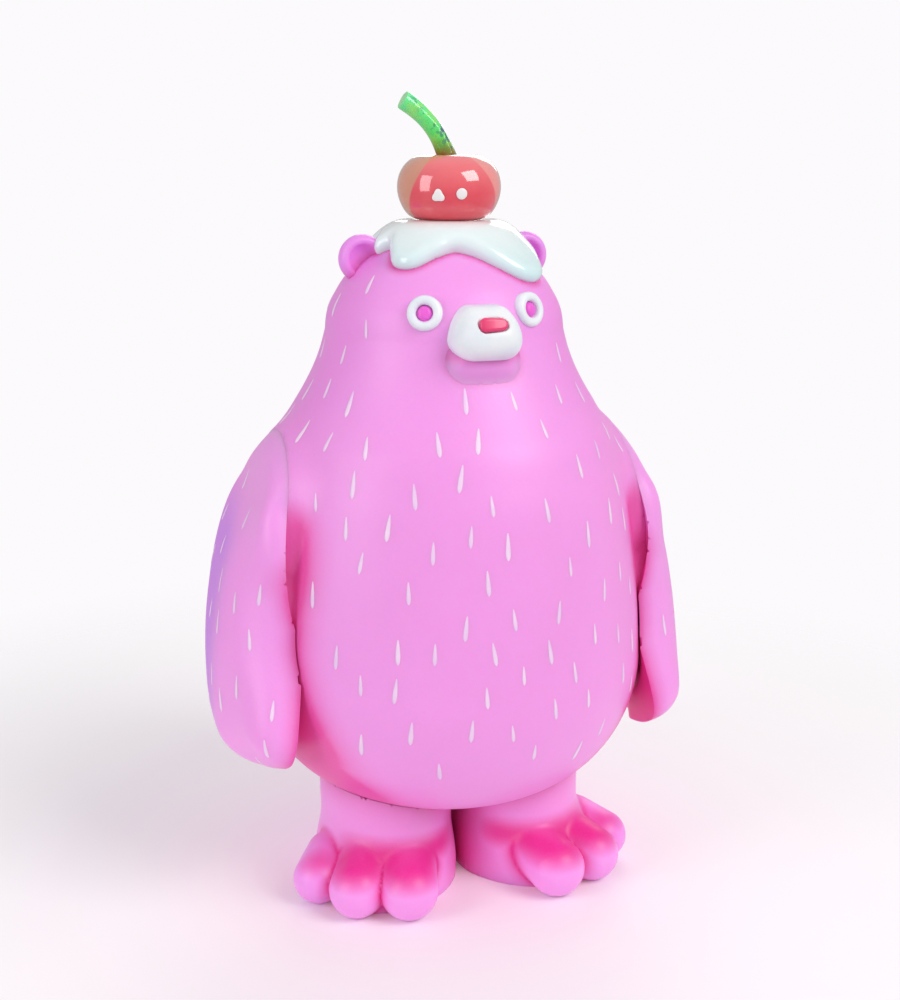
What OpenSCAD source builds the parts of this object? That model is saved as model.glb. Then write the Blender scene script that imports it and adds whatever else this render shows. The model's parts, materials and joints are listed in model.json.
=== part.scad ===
// Vinyl toy bear with iced head and cherry. Millimetres, +Z up, the bear faces -Y.
// The origin is on the floor, under the axis that the head and torso are turned about.

/* [Torso] */
// Largest radius of the belly
belly_r = 52; // [44:1:62]
// Height of the belly's widest ring
belly_z = 60; // [56:1:66]
// Height of the flat underside between the legs
under_z = 24; // [20:1:27]
// Radius of that flat underside
under_r = 20; // [16:1:24]
// Thickness of the cast vinyl wall
wall = 2.6; // [2:0.1:3.4]

/* [Head] */
// Largest radius of the head
head_r = 29.8; // [26:0.2:34]
// Height of the head's widest ring
head_z = 145; // [140:1:150]
// Height of the crown, under the icing
crown_z = 169; // [162:1:174]

/* [Arms] */
// Height of the shoulder axis where it meets the body
shoulder_z = 96; // [92:1:100]
// How far the shoulder face lies inside the belly's radius
shoulder_in = 4.4; // [3:0.2:6]
// Upward lean of the shoulder axis, in degrees
shoulder_lean = 9.5; // [7:0.5:12]
// Radius of the round shoulder face
shoulder_r = 22; // [18:0.5:24]
// Length of the arm from the shoulder axis to the tip of the hand
arm_len = 60; // [48:1:66]
// Thickness of the arm at its middle
arm_t = 11; // [8:0.2:13]
// Radius of the neck that the arm turns on
arm_neck_r = 8; // [6:0.5:9]
// Angle that the arm swings forward through, in degrees
arm_swing = 90; // [45:5:105]

/* [Legs] */
// Half the distance between the two legs
leg_x = 17.8; // [16.5:0.1:22]
// How far the legs stand forward of the body's axis
leg_y = 4; // [2:1:8]
// Half the width of a leg
leg_w = 17.3; // [14:0.1:17.4]
// Half the depth of a leg, front to back
leg_d = 23; // [20:1:26]
// Radius of the big inner toe
toe_r = 7.4; // [6:0.2:8.4]
// Outward turn of the feet, in degrees
foot_turn = 22; // [10:1:26]

/* [Face] */
// Angle of each eye from straight ahead, in degrees
eye_az = 27; // [22:0.5:30]
// Height of the eyes
eye_z = 151.5; // [148:0.5:154]
// Outer radius of the white eye ring
eye_r = 4.6; // [4:0.1:5.4]
// Radius of the pupil
pupil_r = 2.3; // [1.6:0.1:2.8]
// Half the width of the muzzle
muzzle_w = 8.6; // [7:0.2:10]
// Height of the middle of the muzzle
muzzle_z = 147.5; // [144:0.5:149]
// How far the muzzle's front stands out past the head's radius
muzzle_out = 9.2; // [6.2:0.5:12.2]

/* [Ears] */
// Radius of an ear
ear_r = 6; // [5:0.2:7]
// How far an ear's centre lies inside the head's radius
ear_in = 8.4; // [6.8:0.2:9.8]
// Height of an ear's centre
ear_z = 162.8; // [160:0.2:165]

/* [Icing and cherry] */
// Thickness of the icing
icing_t = 2.3; // [1.6:0.1:3.2]
// How far the cherry sits to the bear's left of the middle
cherry_x = 1.3; // [0:0.1:2]
// Radius of the cherry
cherry_r = 12.9; // [11:0.1:15]
// Height of the cherry
cherry_h = 16; // [14:0.2:20]
// Radius of the pin that the cherry turns on
cherry_pin_r = 4; // [3:0.2:5]
// Radius of the stem
stem_r = 2.4; // [1.8:0.1:3]
// Radius of the stem's bend, at its middle line
stem_bend = 26; // [20:1:34]
// Lean of the stem where it leaves the cherry, in degrees
stem_lean = 17; // [5:1:25]
// Angle that the stem's bend turns through, in degrees
stem_turn = 43; // [25:1:60]

/* [Fits] */
// Radial clearance of a turning pin in its hole
pin_gap = 0.05; // [0.02:0.01:0.08]
// Space between faces that slide past each other
face_gap = 0.3; // [0.2:0.05:0.5]
// Radial clearance of a glued plug in its hole
glue_gap = 0.1; // [0.05:0.05:0.2]

/* [Hidden] */

PINK = [0.97, 0.60, 0.88];
HOT_PINK = [0.93, 0.35, 0.68];
ICE = [0.93, 0.98, 0.99];
WHITE = [0.97, 0.96, 0.98];
RED = [0.86, 0.16, 0.24];
NOSE_RED = [0.93, 0.28, 0.42];
GREEN = [0.25, 0.75, 0.30];

// ---- curves ----------------------------------------------------------------

function seg_of(keys, x, i = 0) =
    (i >= len(keys) - 2 || x < keys[i + 1][0]) ? i : seg_of(keys, x, i + 1);
function slope_at(keys, i) =
    let (a = max(i - 1, 0), b = min(i + 1, len(keys) - 1))
    (keys[b][1] - keys[a][1]) / (keys[b][0] - keys[a][0]);
// Smooth curve through [place, value] pairs
function curve(keys, x) =
    let (i = seg_of(keys, x), h = keys[i + 1][0] - keys[i][0],
         t = min(max((x - keys[i][0]) / h, 0), 1), t2 = t * t, t3 = t2 * t)
    (2 * t3 - 3 * t2 + 1) * keys[i][1] + (t3 - 2 * t2 + t) * h * slope_at(keys, i)
    + (3 * t2 - 2 * t3) * keys[i + 1][1] + (t3 - t2) * h * slope_at(keys, i + 1);
function ramp(a, b, x) = let (t = min(max((x - a) / (b - a), 0), 1)) t * t * (3 - 2 * t);

// ---- the turned outline of head and torso ----------------------------------

// Share of the way from head radius to belly radius, at shares of the height between the rings
FLANK = [[0, 1], [0.18, 0.955], [0.36, 0.88], [0.54, 0.765], [0.62, 0.68], [0.70, 0.575], [0.76, 0.44],
         [0.82, 0.30], [0.885, 0.17], [0.945, 0.08], [1, 0.025]];
function flank_r(z) = head_r + (belly_r - head_r) * curve(FLANK, (z - belly_z) / (head_z - belly_z));
// Heights where one stretch of the outline takes over from the next
neck_z = head_z + 0.1 * (crown_z - head_z);
// Places that follow the belly and the head
shoulder_x = belly_r - shoulder_in;
muzzle_y = head_r + muzzle_out;
ear_x = head_r - ear_in;
function arc_r(w, d) = w * sqrt(max(1 - d * d, 0));
function body_r(z) =
    z < belly_z ? under_r + arc_r(belly_r - under_r, (belly_z - z) / (belly_z - under_z))
    : z < neck_z ? flank_r(z)
    : arc_r(head_r, (z - head_z) / (crown_z - head_z));
// Height of the underside at a distance from the axis
function under_at(r) =
    r <= under_r ? under_z
    : belly_z - (belly_z - under_z) * sqrt(max(1 - pow((r - under_r) / (belly_r - under_r), 2), 0));

function outline(n_low, n_mid, n_top) = concat(
    [for (i = [0 : n_low - 1]) let (a = 90 * i / n_low)
        [under_r + (belly_r - under_r) * sin(a), belly_z - (belly_z - under_z) * cos(a)]],
    [for (i = [0 : n_mid - 1]) let (z = belly_z + (neck_z - belly_z) * i / n_mid) [flank_r(z), z]],
    [for (i = [0 : n_top]) let (a0 = asin((neck_z - head_z) / (crown_z - head_z)),
                                a = a0 + (90 - a0) * i / n_top)
        [head_r * cos(a), head_z + (crown_z - head_z) * sin(a)]]);

// The turned solid, grown or shrunk by an even amount
module body_form(grow = 0) {
    rotate_extrude($fn = 96)
        intersection() {
            offset(delta = grow)
                for (flip = [0, 1])
                    mirror([flip, 0]) polygon(concat([[0, under_z]], outline(10, 18, 10)));
            square([2 * belly_r, 2 * crown_z]);
        }
}

// ---- shoulders ---------------------------------------------------------------

// Length of the neck that an arm turns on, and the flange that holds it in the shell
neck_len = 5;
flange_t = 1.8;
flange_r = arm_neck_r + 2.4;
// How much smaller the shell's round shoulder is than the arm that covers it
shoulder_inset = 0.5;

// Places what follows at a shoulder: +Z is the axis, pointing out; -X is down the arm; +Y is forward
module at_shoulder(side) {
    mirror([side > 0 ? 0 : 1, 0, 0])
        translate([shoulder_x, 0, shoulder_z])
            rotate([0, 90 - shoulder_lean, 0])
                rotate([0, 0, 180]) children();
}

module shoulder_solid() {
    translate([0, 0, -neck_len])
        cylinder(r = shoulder_r - shoulder_inset, h = neck_len - face_gap, $fn = 96);
}

// Clears the space in front of the shoulder face, and the hole for the neck
module shoulder_cut() {
    translate([0, 0, -face_gap]) cylinder(r = shoulder_r + 4, h = 12, $fn = 96);
    translate([0, 0, -neck_len - 4]) cylinder(r = arm_neck_r + pin_gap, h = neck_len + 5, $fn = 64);
}

module body_shell() {
    color(PINK)
        difference() {
            union() {
                difference() {
                    body_form();
                    body_form(-wall);
                }
                for (side = [-1, 1]) at_shoulder(side) shoulder_solid();
            }
            for (side = [-1, 1]) {
                at_shoulder(side) shoulder_cut();
                translate([side * leg_x, -leg_y, under_z - 2])
                    cylinder(r = leg_neck_r + glue_gap, h = 4 * wall, $fn = 64);
            }
            translate([cherry_x, 0, crown_z - 3 * wall])
                cylinder(r = cherry_pin_r + pin_gap, h = 6 * wall, $fn = 64);
        }
}

// ---- arms ----------------------------------------------------------------------

// How far the arm reaches past the shoulder circle, as a share, by angle from straight down, forwards
ARM_EDGE = [[-180, 0], [-90, 0], [-62, 0.04], [-42, 0.16], [-28, 0.36], [-18, 0.60], [-8, 0.86],
            [4, 0.975], [16, 1], [26, 1], [31, 0.97], [34.5, 0.86], [38, 0.62], [42, 0.40],
            [48, 0.22], [56, 0.10], [66, 0.03], [80, 0], [180, 0]];
function arm_edge(a) = shoulder_r + (arm_len - shoulder_r) * curve(ARM_EDGE, a);
// Height of the arm's back above the shoulder face, along its middle, as shares of its thickness
ARM_BACK = [[-1, 0.48], [0, 0.66], [0.17, 0.84], [0.38, 0.94], [0.55, 0.95], [0.72, 0.82],
            [0.88, 0.50], [1, 0.18]];
// How much lower the back is at the arm's front edge, and the least thickness of the arm
front_fall = 5;
arm_least = 2;
// How far the arm's front edge folds in past the shoulder face, towards the belly
fold_in = 8;
// Roundness of the arm's edge: 2 is a half circle, and more is squarer
edge_power = 2.6;

function face_x(z) = shoulder_x + tan(shoulder_lean) * (shoulder_z - z);
// Height of the turned body above the shoulder face, at a distance and angle round the shoulder axis
function body_over_face(r, a) =
    let (z = shoulder_z - r * cos(a) * cos(shoulder_lean),
         f = r * sin(a),
         wide = z < under_z ? 0 : body_r(z))
    wide > abs(f) ? (sqrt(wide * wide - f * f) - face_x(z)) * cos(shoulder_lean) : -belly_r;
// The arm's inner side: flat on the shoulder, then as close to the body as the swing allows
function arm_inner(r, a) =
    let (z = shoulder_z - r * cos(a) * cos(shoulder_lean),
         clear = max([for (t = [0 : 7.5 : arm_swing]) body_over_face(r, a + t)]) + 1.5 * face_gap,
         hang = min(0, belly_r + face_gap - face_x(z)),
         tuck = max(clear, hang - (fold_in + hang) * ramp(4, 14, r * sin(a))))
    r <= shoulder_r ? 0 : tuck * ramp(shoulder_r + 0.5, shoulder_r + 5, r);
function arm_outer(q, r, a) =
    let (low = arm_inner(r, a),
         fall = front_fall * ramp(6, 26, r * sin(a)) * ramp(-10, 12, r * cos(a)),
         top = arm_t * curve(ARM_BACK, r * cos(a) / arm_len) - fall)
    low + max(top - low, arm_least) * sqrt(max(1 - pow(q, edge_power), 0));

// The arm as rings round the shoulder axis: out along its inner side and back over its outer side
module arm_form() {
    n = 60;
    inner_rings = 4;
    outer_rings = 8;
    m = inner_rings + outer_rings;
    // Radius of a ring: one ring lies on the shoulder circle wherever the arm reaches past it
    reach = function (k, a)
        let (edge = arm_edge(a), start = min(shoulder_r, 0.75 * edge))
        k <= inner_rings ? start * k / inner_rings
        : start + (edge - start) * pow((k - inner_rings) / outer_rings, 0.75);
    ring = function (k, outside) [for (i = [0 : n - 1])
        let (a = -180 + 360 * i / n, r = reach(k, a),
             h = k == m ? arm_inner(r, a) + 0.6 * ramp(shoulder_r, shoulder_r + 8, r)
                 : outside ? arm_outer(r / arm_edge(a), r, a)
                 : arm_inner(r, a))
        [-r * cos(a), r * sin(a), h]];
    points = concat(
        [[0, 0, arm_inner(0, 0)]],
        [for (k = [1 : m]) each ring(k, false)],
        [for (k = [m - 1 : -1 : 1]) each ring(k, true)],
        [[0, 0, arm_outer(0, 0, 0)]]);
    last = len(points) - 1;
    faces = concat(
        [for (i = [0 : n - 1]) [0, 1 + (i + 1) % n, 1 + i]],
        [for (k = [0 : 2 * m - 3]) for (i = [0 : n - 1])
            let (a = 1 + k * n + i, b = 1 + k * n + (i + 1) % n, c = a + n, d = b + n)
            each [[a, b, c], [b, d, c]]],
        [for (i = [0 : n - 1]) [last, last - n + i, last - n + (i + 1) % n]]);
    polyhedron(points, faces, convexity = 4);
}

module arm(side) {
    color(PINK)
        at_shoulder(side)
            union() {
                arm_form();
                translate([0, 0, -neck_len - face_gap])
                    cylinder(r = arm_neck_r, h = neck_len + 2, $fn = 64);
                translate([0, 0, -neck_len - face_gap - flange_t])
                    cylinder(r = flange_r, h = flange_t, $fn = 64);
            }
}

// ---- legs ---------------------------------------------------------------------

// The plug that a leg is glued into the shell by
leg_neck_r = 8;
leg_neck_len = 7;
// Toes: [distance along the foot, distance across, share of the big toe's radius]
TOES = [[27.7, -8.8, 1.0], [27.6, 4.4, 0.96], [21.0, 15.2, 0.88]];
// A toe's height as a share of its width
toe_squash = 0.96;
// Half length and height of the foot, before its toes
foot_len = 28;
foot_h = 15;
// Height of the foot's upright side, under its dome
foot_side = 3;
// Half of the slit between the two legs
leg_gap = 0.4;

// The leg's outline round its own upright axis: a column, a foot and three toes
function oval(a, w, d) = 1 / sqrt(pow(sin(a) / w, 2) + pow(cos(a) / d, 2));
function toe_reach(a, z, toe) =
    let (rho = toe_r * toe[2],
         s2 = rho * rho - pow(z / toe_squash - rho, 2),
         along = toe[0] * cos(a) + toe[1] * sin(a),
         off = toe[1] * cos(a) - toe[0] * sin(a))
    (s2 <= 0 || s2 < off * off || along < 0) ? 0 : along + sqrt(s2 - off * off);
function column_reach(a) = oval(a + foot_turn, leg_w, leg_d);
function foot_reach(a, z) =
    oval(a, leg_w * 1.05, foot_len) * arc_r(1, min(max(z - foot_side, 0) / foot_h, 1));
// Distance to the flat side where the two legs meet
function slit_reach(a) = (leg_x - leg_gap) / max(-sin(a + foot_turn), 0.001);
function leg_reach(a, z) =
    let (base = max(column_reach(a) * (z < foot_side + 1 ? 0.96 : 1), foot_reach(a, z)),
         toes = max([for (t = TOES) toe_reach(a, z, t)]))
    min(max(base, toes), slit_reach(a));

module leg_form(top_gap) {
    n = 72;
    heights = [0, 1, 2.6, 4.8, 7.4, 10, 12.4, 14.2, 16, 19];
    top_shares = [1, 0.85, 0.7, 0.5, 0.3];
    sole_rings = 2;
    place = function (a, r, z) [r * sin(a), -r * cos(a), z];
    // Height of the belly over a point of the leg, for the bear's left leg
    above = function (a, r)
        let (w = a + foot_turn, x = leg_x + r * sin(w), y = leg_y + r * cos(w))
        under_at(min(norm([x, y]), belly_r - 0.5)) - top_gap;
    points = concat(
        [[0, 0, 0]],
        [for (k = [1 : sole_rings]) for (i = [0 : n - 1]) let (a = 360 * i / n)
            place(a, leg_reach(a, 0) * k / (sole_rings + 1), 0)],
        [for (z = heights) for (i = [0 : n - 1]) let (a = 360 * i / n)
            place(a, leg_reach(a, z), z)],
        [for (q = top_shares) for (i = [0 : n - 1])
            let (a = 360 * i / n, r = min(column_reach(a), slit_reach(a)) * q)
            place(a, r, above(a, r))],
        [[0, 0, above(0, 0)]]);
    rings = sole_rings + len(heights) + len(top_shares);
    last = len(points) - 1;
    faces = concat(
        [for (i = [0 : n - 1]) [0, 1 + i, 1 + (i + 1) % n]],
        [for (k = [0 : rings - 2]) for (i = [0 : n - 1])
            let (a = 1 + k * n + i, b = 1 + k * n + (i + 1) % n, c = a + n, d = b + n)
            each [[a, c, b], [b, c, d]]],
        [for (i = [0 : n - 1]) [last, last - n + (i + 1) % n, last - n + i]]);
    rotate([0, 0, foot_turn]) polyhedron(points, faces, convexity = 6);
}

module leg(side) {
    plug_start = 12;
    color(PINK)
        mirror([side > 0 ? 0 : 1, 0, 0])
            translate([leg_x, -leg_y, 0])
                difference() {
                    union() {
                        leg_form(0.05);
                        translate([0, 0, plug_start])
                            cylinder(r = leg_neck_r, h = under_z + leg_neck_len - plug_start, $fn = 64);
                    }
                    translate([0, 0, wall])
                        cylinder(r = leg_neck_r - wall, h = under_z + 2 * leg_neck_len, $fn = 48);
                }
}

// ---- face ---------------------------------------------------------------------

// Upward tilt of the eyes, in degrees
eye_tilt = 14;
// How far the eyes stand out of the head, and how deep they go into it
eye_rise = 1.3;
eye_root = 2;
pupil_gap = 0.05;

module at_face(az, z, lean) {
    translate([body_r(z) * sin(az), -body_r(z) * cos(az), z])
        rotate([90 - lean, 0, az]) children();
}

module eye_ring(side) {
    bore = pupil_r + pupil_gap;
    color(WHITE)
        difference() {
            at_face(side * eye_az, eye_z, eye_tilt)
                rotate_extrude($fn = 64)
                    polygon([[bore, -eye_root], [eye_r, -eye_root], [eye_r, 0.5], [eye_r - 0.35, 1.05],
                             [eye_r - 0.9, eye_rise], [bore + 0.55, eye_rise], [bore, 0.9]]);
            body_form();
        }
}

module pupil(side) {
    color(HOT_PINK)
        difference() {
            at_face(side * eye_az, eye_z, eye_tilt)
                rotate_extrude($fn = 64)
                    polygon(concat([[0, -eye_root], [pupil_r, -eye_root]],
                        [for (a = [0 : 15 : 90]) [pupil_r * cos(a), 0.1 + sin(a)]]));
            body_form();
        }
}

// Rounding of the muzzle's front
muzzle_round = 4.4;
nose_depth = 1.4;
// Half the height of the nose, and half its straight length
nose_half = 1.6;
nose_run = 2.0;
// Upward tilt of the nose, in degrees
nose_tilt = 18;

module muzzle_pad() {
    low_x = muzzle_w - muzzle_round;
    front_y = muzzle_y - muzzle_round;
    color(WHITE)
        difference() {
            hull()
                for (side = [-1, 1]) {
                    translate([side * low_x, -front_y, muzzle_z - 2.4])
                        sphere(r = muzzle_round, $fn = 32);
                    translate([side * (low_x - 1.8), -front_y + 1.4, muzzle_z + 1.8])
                        sphere(r = muzzle_round, $fn = 32);
                    translate([side * low_x, -muzzle_y + 12, muzzle_z - 0.8])
                        sphere(r = muzzle_round + 1.2, $fn = 32);
                }
            body_form();
            at_nose() nose_plan(nose_depth + 4);
        }
}

// Places the nose in the muzzle's sloping upper front, 1 mm deep
module at_nose() {
    translate([0, -muzzle_y + 1.3, muzzle_z + 2.2])
        rotate([90 - nose_tilt, 0, 0])
            translate([0, 0, -1]) children();
}
module nose_plan(h) {
    linear_extrude(height = h) {
        translate([-nose_run, -nose_half]) square([2 * nose_run, 2 * nose_half]);
        for (side = [-1, 1]) translate([side * nose_run, 0]) circle(r = nose_half, $fn = 32);
    }
}
module nose() {
    color(NOSE_RED) at_nose() nose_plan(nose_depth);
}

module lower_jaw() {
    jaw_round = 3;
    jaw_top = muzzle_z - 6.8;
    color(PINK)
        difference() {
            hull()
                for (side = [-1, 1])
                    for (dz = [0, 3.2])
                        translate([side * (muzzle_w - 2.6), -muzzle_y + 7.4, jaw_top - 2.8 + dz])
                            sphere(r = jaw_round, $fn = 24);
            body_form();
            translate([-20, -60, jaw_top]) cube([40, 60, 20]);
        }
}

// ---- ears, icing, cherry --------------------------------------------------------

// Outward lean of the ears, in degrees
ear_lean = 24;

module ear(side) {
    color(PINK)
        difference() {
            translate([side * ear_x, 0, ear_z])
                rotate([0, side * ear_lean, 0]) rotate([90, 0, 0])
                    rotate_extrude($fn = 64)
                        polygon([[0, -2.6], [ear_r - 1.4, -2.6], [ear_r - 0.4, -1.6], [ear_r, 0],
                                 [ear_r - 0.4, 1.8], [ear_r - 1.3, 2.6], [ear_r - 2.3, 2.3],
                                 [ear_r - 3.0, 1.2], [ear_r - 4.4, 0.4], [0, 0.2]]);
            body_form(0.02);
        }
}

icing_hole_r = cherry_pin_r + cherry_x + 0.5;
// How far down the head the icing runs, as an angle from the crown, round the head from the front
DRIPS = [[-180, 46], [-158, 60], [-138, 44], [-116, 38], [-97, 30], [-84, 31], [-75, 35], [-66, 29],
         [-56, 35], [-46, 46], [-36, 46], [-22, 35.5], [-9, 33], [6, 38.5], [18, 47], [33, 57],
         [46, 57], [62, 40], [76, 38], [90, 30], [102, 32], [122, 54], [146, 44], [180, 46]];
// Point on the head, or above it, at an angle from the crown
function crown_point(az, t, lift) =
    let (b = crown_z - head_z, n = [sin(t) / head_r, cos(t) / b], k = lift / norm(n),
         r = head_r * sin(t) + n[0] * k)
    [r * sin(az), -r * cos(az), head_z + b * cos(t) + n[1] * k];

module icing_cap() {
    n = 72;
    m = 12;
    under_lift = 0.06;
    rim_lift = 0.35;
    start = asin(icing_hole_r / head_r);
    ring = function (q, outside) [for (i = [0 : n - 1])
        let (az = -180 + 360 * i / n,
             t = start + (curve(DRIPS, az) - start) * q,
             lift = outside ? 0.08 + icing_t * sqrt(max(1 - pow(q, 5), 0)) : under_lift)
        crown_point(az, t, q >= 1 ? rim_lift : lift)];
    points = concat(
        [for (k = [0 : m]) each ring(k / m, true)],
        [for (k = [m - 1 : -1 : 0]) each ring(k / m, false)]);
    rings = 2 * m + 1;
    faces = [for (k = [0 : rings - 1]) for (i = [0 : n - 1])
        let (a = k * n + i, b = k * n + (i + 1) % n,
             c = ((k + 1) % rings) * n + i, d = ((k + 1) % rings) * n + (i + 1) % n)
        each [[a, c, b], [b, c, d]]];
    color(ICE) polyhedron(points, faces, convexity = 6);
}

cherry_z = crown_z + icing_t + face_gap;
dimple = 1.6;
// Flange that keeps the cherry's pin in the head
pin_flange_t = 1.6;
pin_len = cherry_z - crown_z + wall + 1;
// Plug that the stem is glued into the cherry by
stem_plug = 3;
stem_gap = 0.05;
stem_z = cherry_z + cherry_h - dimple - stem_plug;

// Moves the cherry and what is on it to its place
module on_head() {
    translate([cherry_x, 0, 0]) children();
}

module cherry_form(grow = 0) {
    top = cherry_h + grow;
    translate([0, 0, cherry_z])
        rotate_extrude($fn = 96)
            polygon(concat([[0, -grow]],
                [for (a = [-70 : 7.5 : 80])
                    [(cherry_r + grow) * pow(cos(a), 0.75),
                     cherry_h / 2 + (top - cherry_h / 2) * sin(a) / sin(80)]],
                [[stem_r + 1.8, top - 0.5], [stem_r + 0.6, top - dimple], [0, top - dimple]]));
}

module cherry() {
    color(RED)
        difference() {
            union() {
                cherry_form();
                translate([0, 0, cherry_z - pin_len])
                    cylinder(r = cherry_pin_r, h = pin_len + 2, $fn = 64);
                translate([0, 0, cherry_z - pin_len - pin_flange_t])
                    cylinder(r = cherry_pin_r + pin_flange_t, h = pin_flange_t, $fn = 64);
            }
            translate([0, 0, stem_z]) cylinder(r = stem_r, h = cherry_h, $fn = 48);
        }
}

module cherry_stem() {
    color(GREEN) {
        translate([0, 0, stem_z]) cylinder(r = stem_r - stem_gap, h = stem_plug + 0.6, $fn = 48);
        translate([0, 0, stem_z + stem_plug + 0.2])
            rotate([90, -stem_lean, 0])
                translate([-stem_bend, 0, 0])
                    rotate_extrude(angle = stem_turn, $fn = 96)
                        translate([stem_bend, 0]) circle(r = stem_r - stem_gap, $fn = 48);
    }
}

// One of the two white marks on the cherry's front: a rounded triangle or a round spot
module cherry_dot(side) {
    mark_r = 1.55;
    mark_t = 0.35;
    color(WHITE)
        difference() {
            intersection() {
                translate([0, 0, cherry_z + cherry_h * 0.40])
                    rotate([90, 0, -17 + side * 13])
                        cylinder(r = mark_r, h = 2 * cherry_r, $fn = side < 0 ? 3 : 32);
                cherry_form(mark_t);
            }
            cherry_form();
        }
}

body_shell();
arm(-1);  // right_arm
arm(1);  // left_arm
leg(-1);  // right_leg
leg(1);  // left_leg
ear(-1);  // right_ear
ear(1);  // left_ear
icing_cap();
on_head() cherry();
on_head() cherry_stem();
on_head() cherry_dot(-1);  // right_cherry_dot
on_head() cherry_dot(1);  // left_cherry_dot
eye_ring(-1);  // right_eye_ring
eye_ring(1);  // left_eye_ring
pupil(-1);  // right_pupil
pupil(1);  // left_pupil
muzzle_pad();
lower_jaw();
nose();
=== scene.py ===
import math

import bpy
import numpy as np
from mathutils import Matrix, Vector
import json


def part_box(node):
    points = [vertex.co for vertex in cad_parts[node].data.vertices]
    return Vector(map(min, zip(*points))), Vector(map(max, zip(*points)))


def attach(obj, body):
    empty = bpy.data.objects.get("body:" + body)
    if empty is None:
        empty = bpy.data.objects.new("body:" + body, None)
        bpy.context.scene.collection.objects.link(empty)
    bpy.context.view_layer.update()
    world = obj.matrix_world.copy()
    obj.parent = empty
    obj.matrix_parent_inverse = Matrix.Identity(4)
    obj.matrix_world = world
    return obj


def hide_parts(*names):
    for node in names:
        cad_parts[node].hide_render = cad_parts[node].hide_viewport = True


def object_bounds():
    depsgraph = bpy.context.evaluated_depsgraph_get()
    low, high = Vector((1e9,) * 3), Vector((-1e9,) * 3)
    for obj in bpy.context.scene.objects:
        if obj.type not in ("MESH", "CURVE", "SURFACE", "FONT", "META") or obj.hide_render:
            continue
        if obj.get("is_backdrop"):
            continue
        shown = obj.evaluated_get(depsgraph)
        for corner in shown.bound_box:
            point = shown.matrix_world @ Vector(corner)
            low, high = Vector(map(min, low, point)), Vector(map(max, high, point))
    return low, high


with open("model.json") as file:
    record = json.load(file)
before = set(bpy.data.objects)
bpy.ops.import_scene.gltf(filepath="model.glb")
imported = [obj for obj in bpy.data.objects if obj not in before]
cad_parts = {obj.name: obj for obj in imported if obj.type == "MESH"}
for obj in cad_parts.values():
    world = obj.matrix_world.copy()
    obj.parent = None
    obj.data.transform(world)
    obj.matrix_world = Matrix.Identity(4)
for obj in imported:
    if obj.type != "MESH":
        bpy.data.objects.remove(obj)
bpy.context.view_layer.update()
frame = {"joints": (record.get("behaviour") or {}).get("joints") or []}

# %% [markdown]
# # A vinyl bear with an iced head and a cherry
#
# The toy is cast in soft vinyl: a hollow body turned about one axis, two flippers that click into
# round shoulder sockets, two legs with three toes each, a poured cap of icing and a loose cherry.
# Vinyl leaves its mould with every edge melted a little, so nothing on this model may look cut
# from a plain solid. The frame above already holds the sizes and the joints. Every cell below
# takes its positions from that frame and adds the skin, the paint and the light.

MM = 0.001
SIDES = {-1: "right", 1: "left"}
BELLY_RISE, HEAD_DROP = 36.0, 24.0


def node_box(node):
    """Lowest and highest corner of a CAD part, in millimetres."""
    low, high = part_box(node)
    return np.array(low) / MM, np.array(high) / MM


body_low, body_high = node_box("body_shell")
under_z, crown_z, belly_r = body_low[2], body_high[2], body_high[0]
belly_z, head_z, head_r = under_z + BELLY_RISE, crown_z - HEAD_DROP, 29.8
print("body from", round(under_z, 1), "to", round(crown_z, 1), "mm, belly radius", round(belly_r, 1))

# %% [markdown]
# ## Shapes as fields
#
# A melted vinyl edge is hard to get from boxes and bevels. A distance field gets it for free: a
# function that says how far a point is from the surface, negative inside. Two fields join with a
# soft minimum, and the width of that minimum is the radius of the fillet between them. The small
# helpers below are all that the rest of the lesson needs: a smooth curve through a few heights, a
# ramp, soft joins, a rounded cut and the distance to an ellipsoid.


# %% Curves and soft joins
def curve(keys, x):
    """Smooth curve through (place, value) pairs, for one number or an array."""
    keys = np.array(keys, float)
    places, values = keys[:, 0], keys[:, 1]
    slopes = np.gradient(values) / np.gradient(places)
    i = np.clip(np.searchsorted(places, x, side="right") - 1, 0, len(places) - 2)
    h = places[i + 1] - places[i]
    t = np.clip((x - places[i]) / h, 0, 1)
    return (
        (2 * t**3 - 3 * t**2 + 1) * values[i]
        + (t**3 - 2 * t**2 + t) * h * slopes[i]
        + (3 * t**2 - 2 * t**3) * values[i + 1]
        + (t**3 - t**2) * h * slopes[i + 1]
    )


def ramp(a, b, x):
    """0 before a, 1 after b, smooth between."""
    t = np.clip((x - a) / (b - a), 0, 1)
    return t * t * (3 - 2 * t)


def soft_min(a, b, width):
    """Union of two fields with a fillet of about that width."""
    h = np.clip(0.5 + 0.5 * (b - a) / width, 0, 1)
    return b * (1 - h) + a * h - width * h * (1 - h)


def soft_max(a, b, width):
    """What two fields share, with a rounded edge."""
    return -soft_min(-a, -b, width)


def round_cut(a, b, radius):
    """What two fields share, its edge a quarter circle."""
    a, b = a + radius, b + radius
    return np.minimum(np.maximum(a, b), 0) + np.hypot(np.maximum(a, 0), np.maximum(b, 0)) - radius


def ellipsoid(p, centre, radii):
    """Distance to an ellipsoid, close to exact near its surface."""
    q = (p - np.array(centre, float)) / np.array(radii, float)
    k0 = np.sqrt((q**2).sum(-1))
    k1 = np.sqrt(((q / np.array(radii, float)) ** 2).sum(-1))
    return k0 * (k0 - 1) / np.maximum(k1, 1e-6)


# %% [markdown]
# ## From a field to a mesh
#
# Blender can't draw a field, so it is sampled on a grid of small cells. Each cell that the surface
# passes through gets one vertex, at the middle of its crossings, and neighbouring cells are joined
# by quads. That gives an even skin with no poles. A few short steps along the field's own slope
# then bring every vertex onto the surface. Where two cuts meet, a vertex near both is moved onto
# both, so that a real edge, such as the rim of a shoulder socket, stays crisp.


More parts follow.
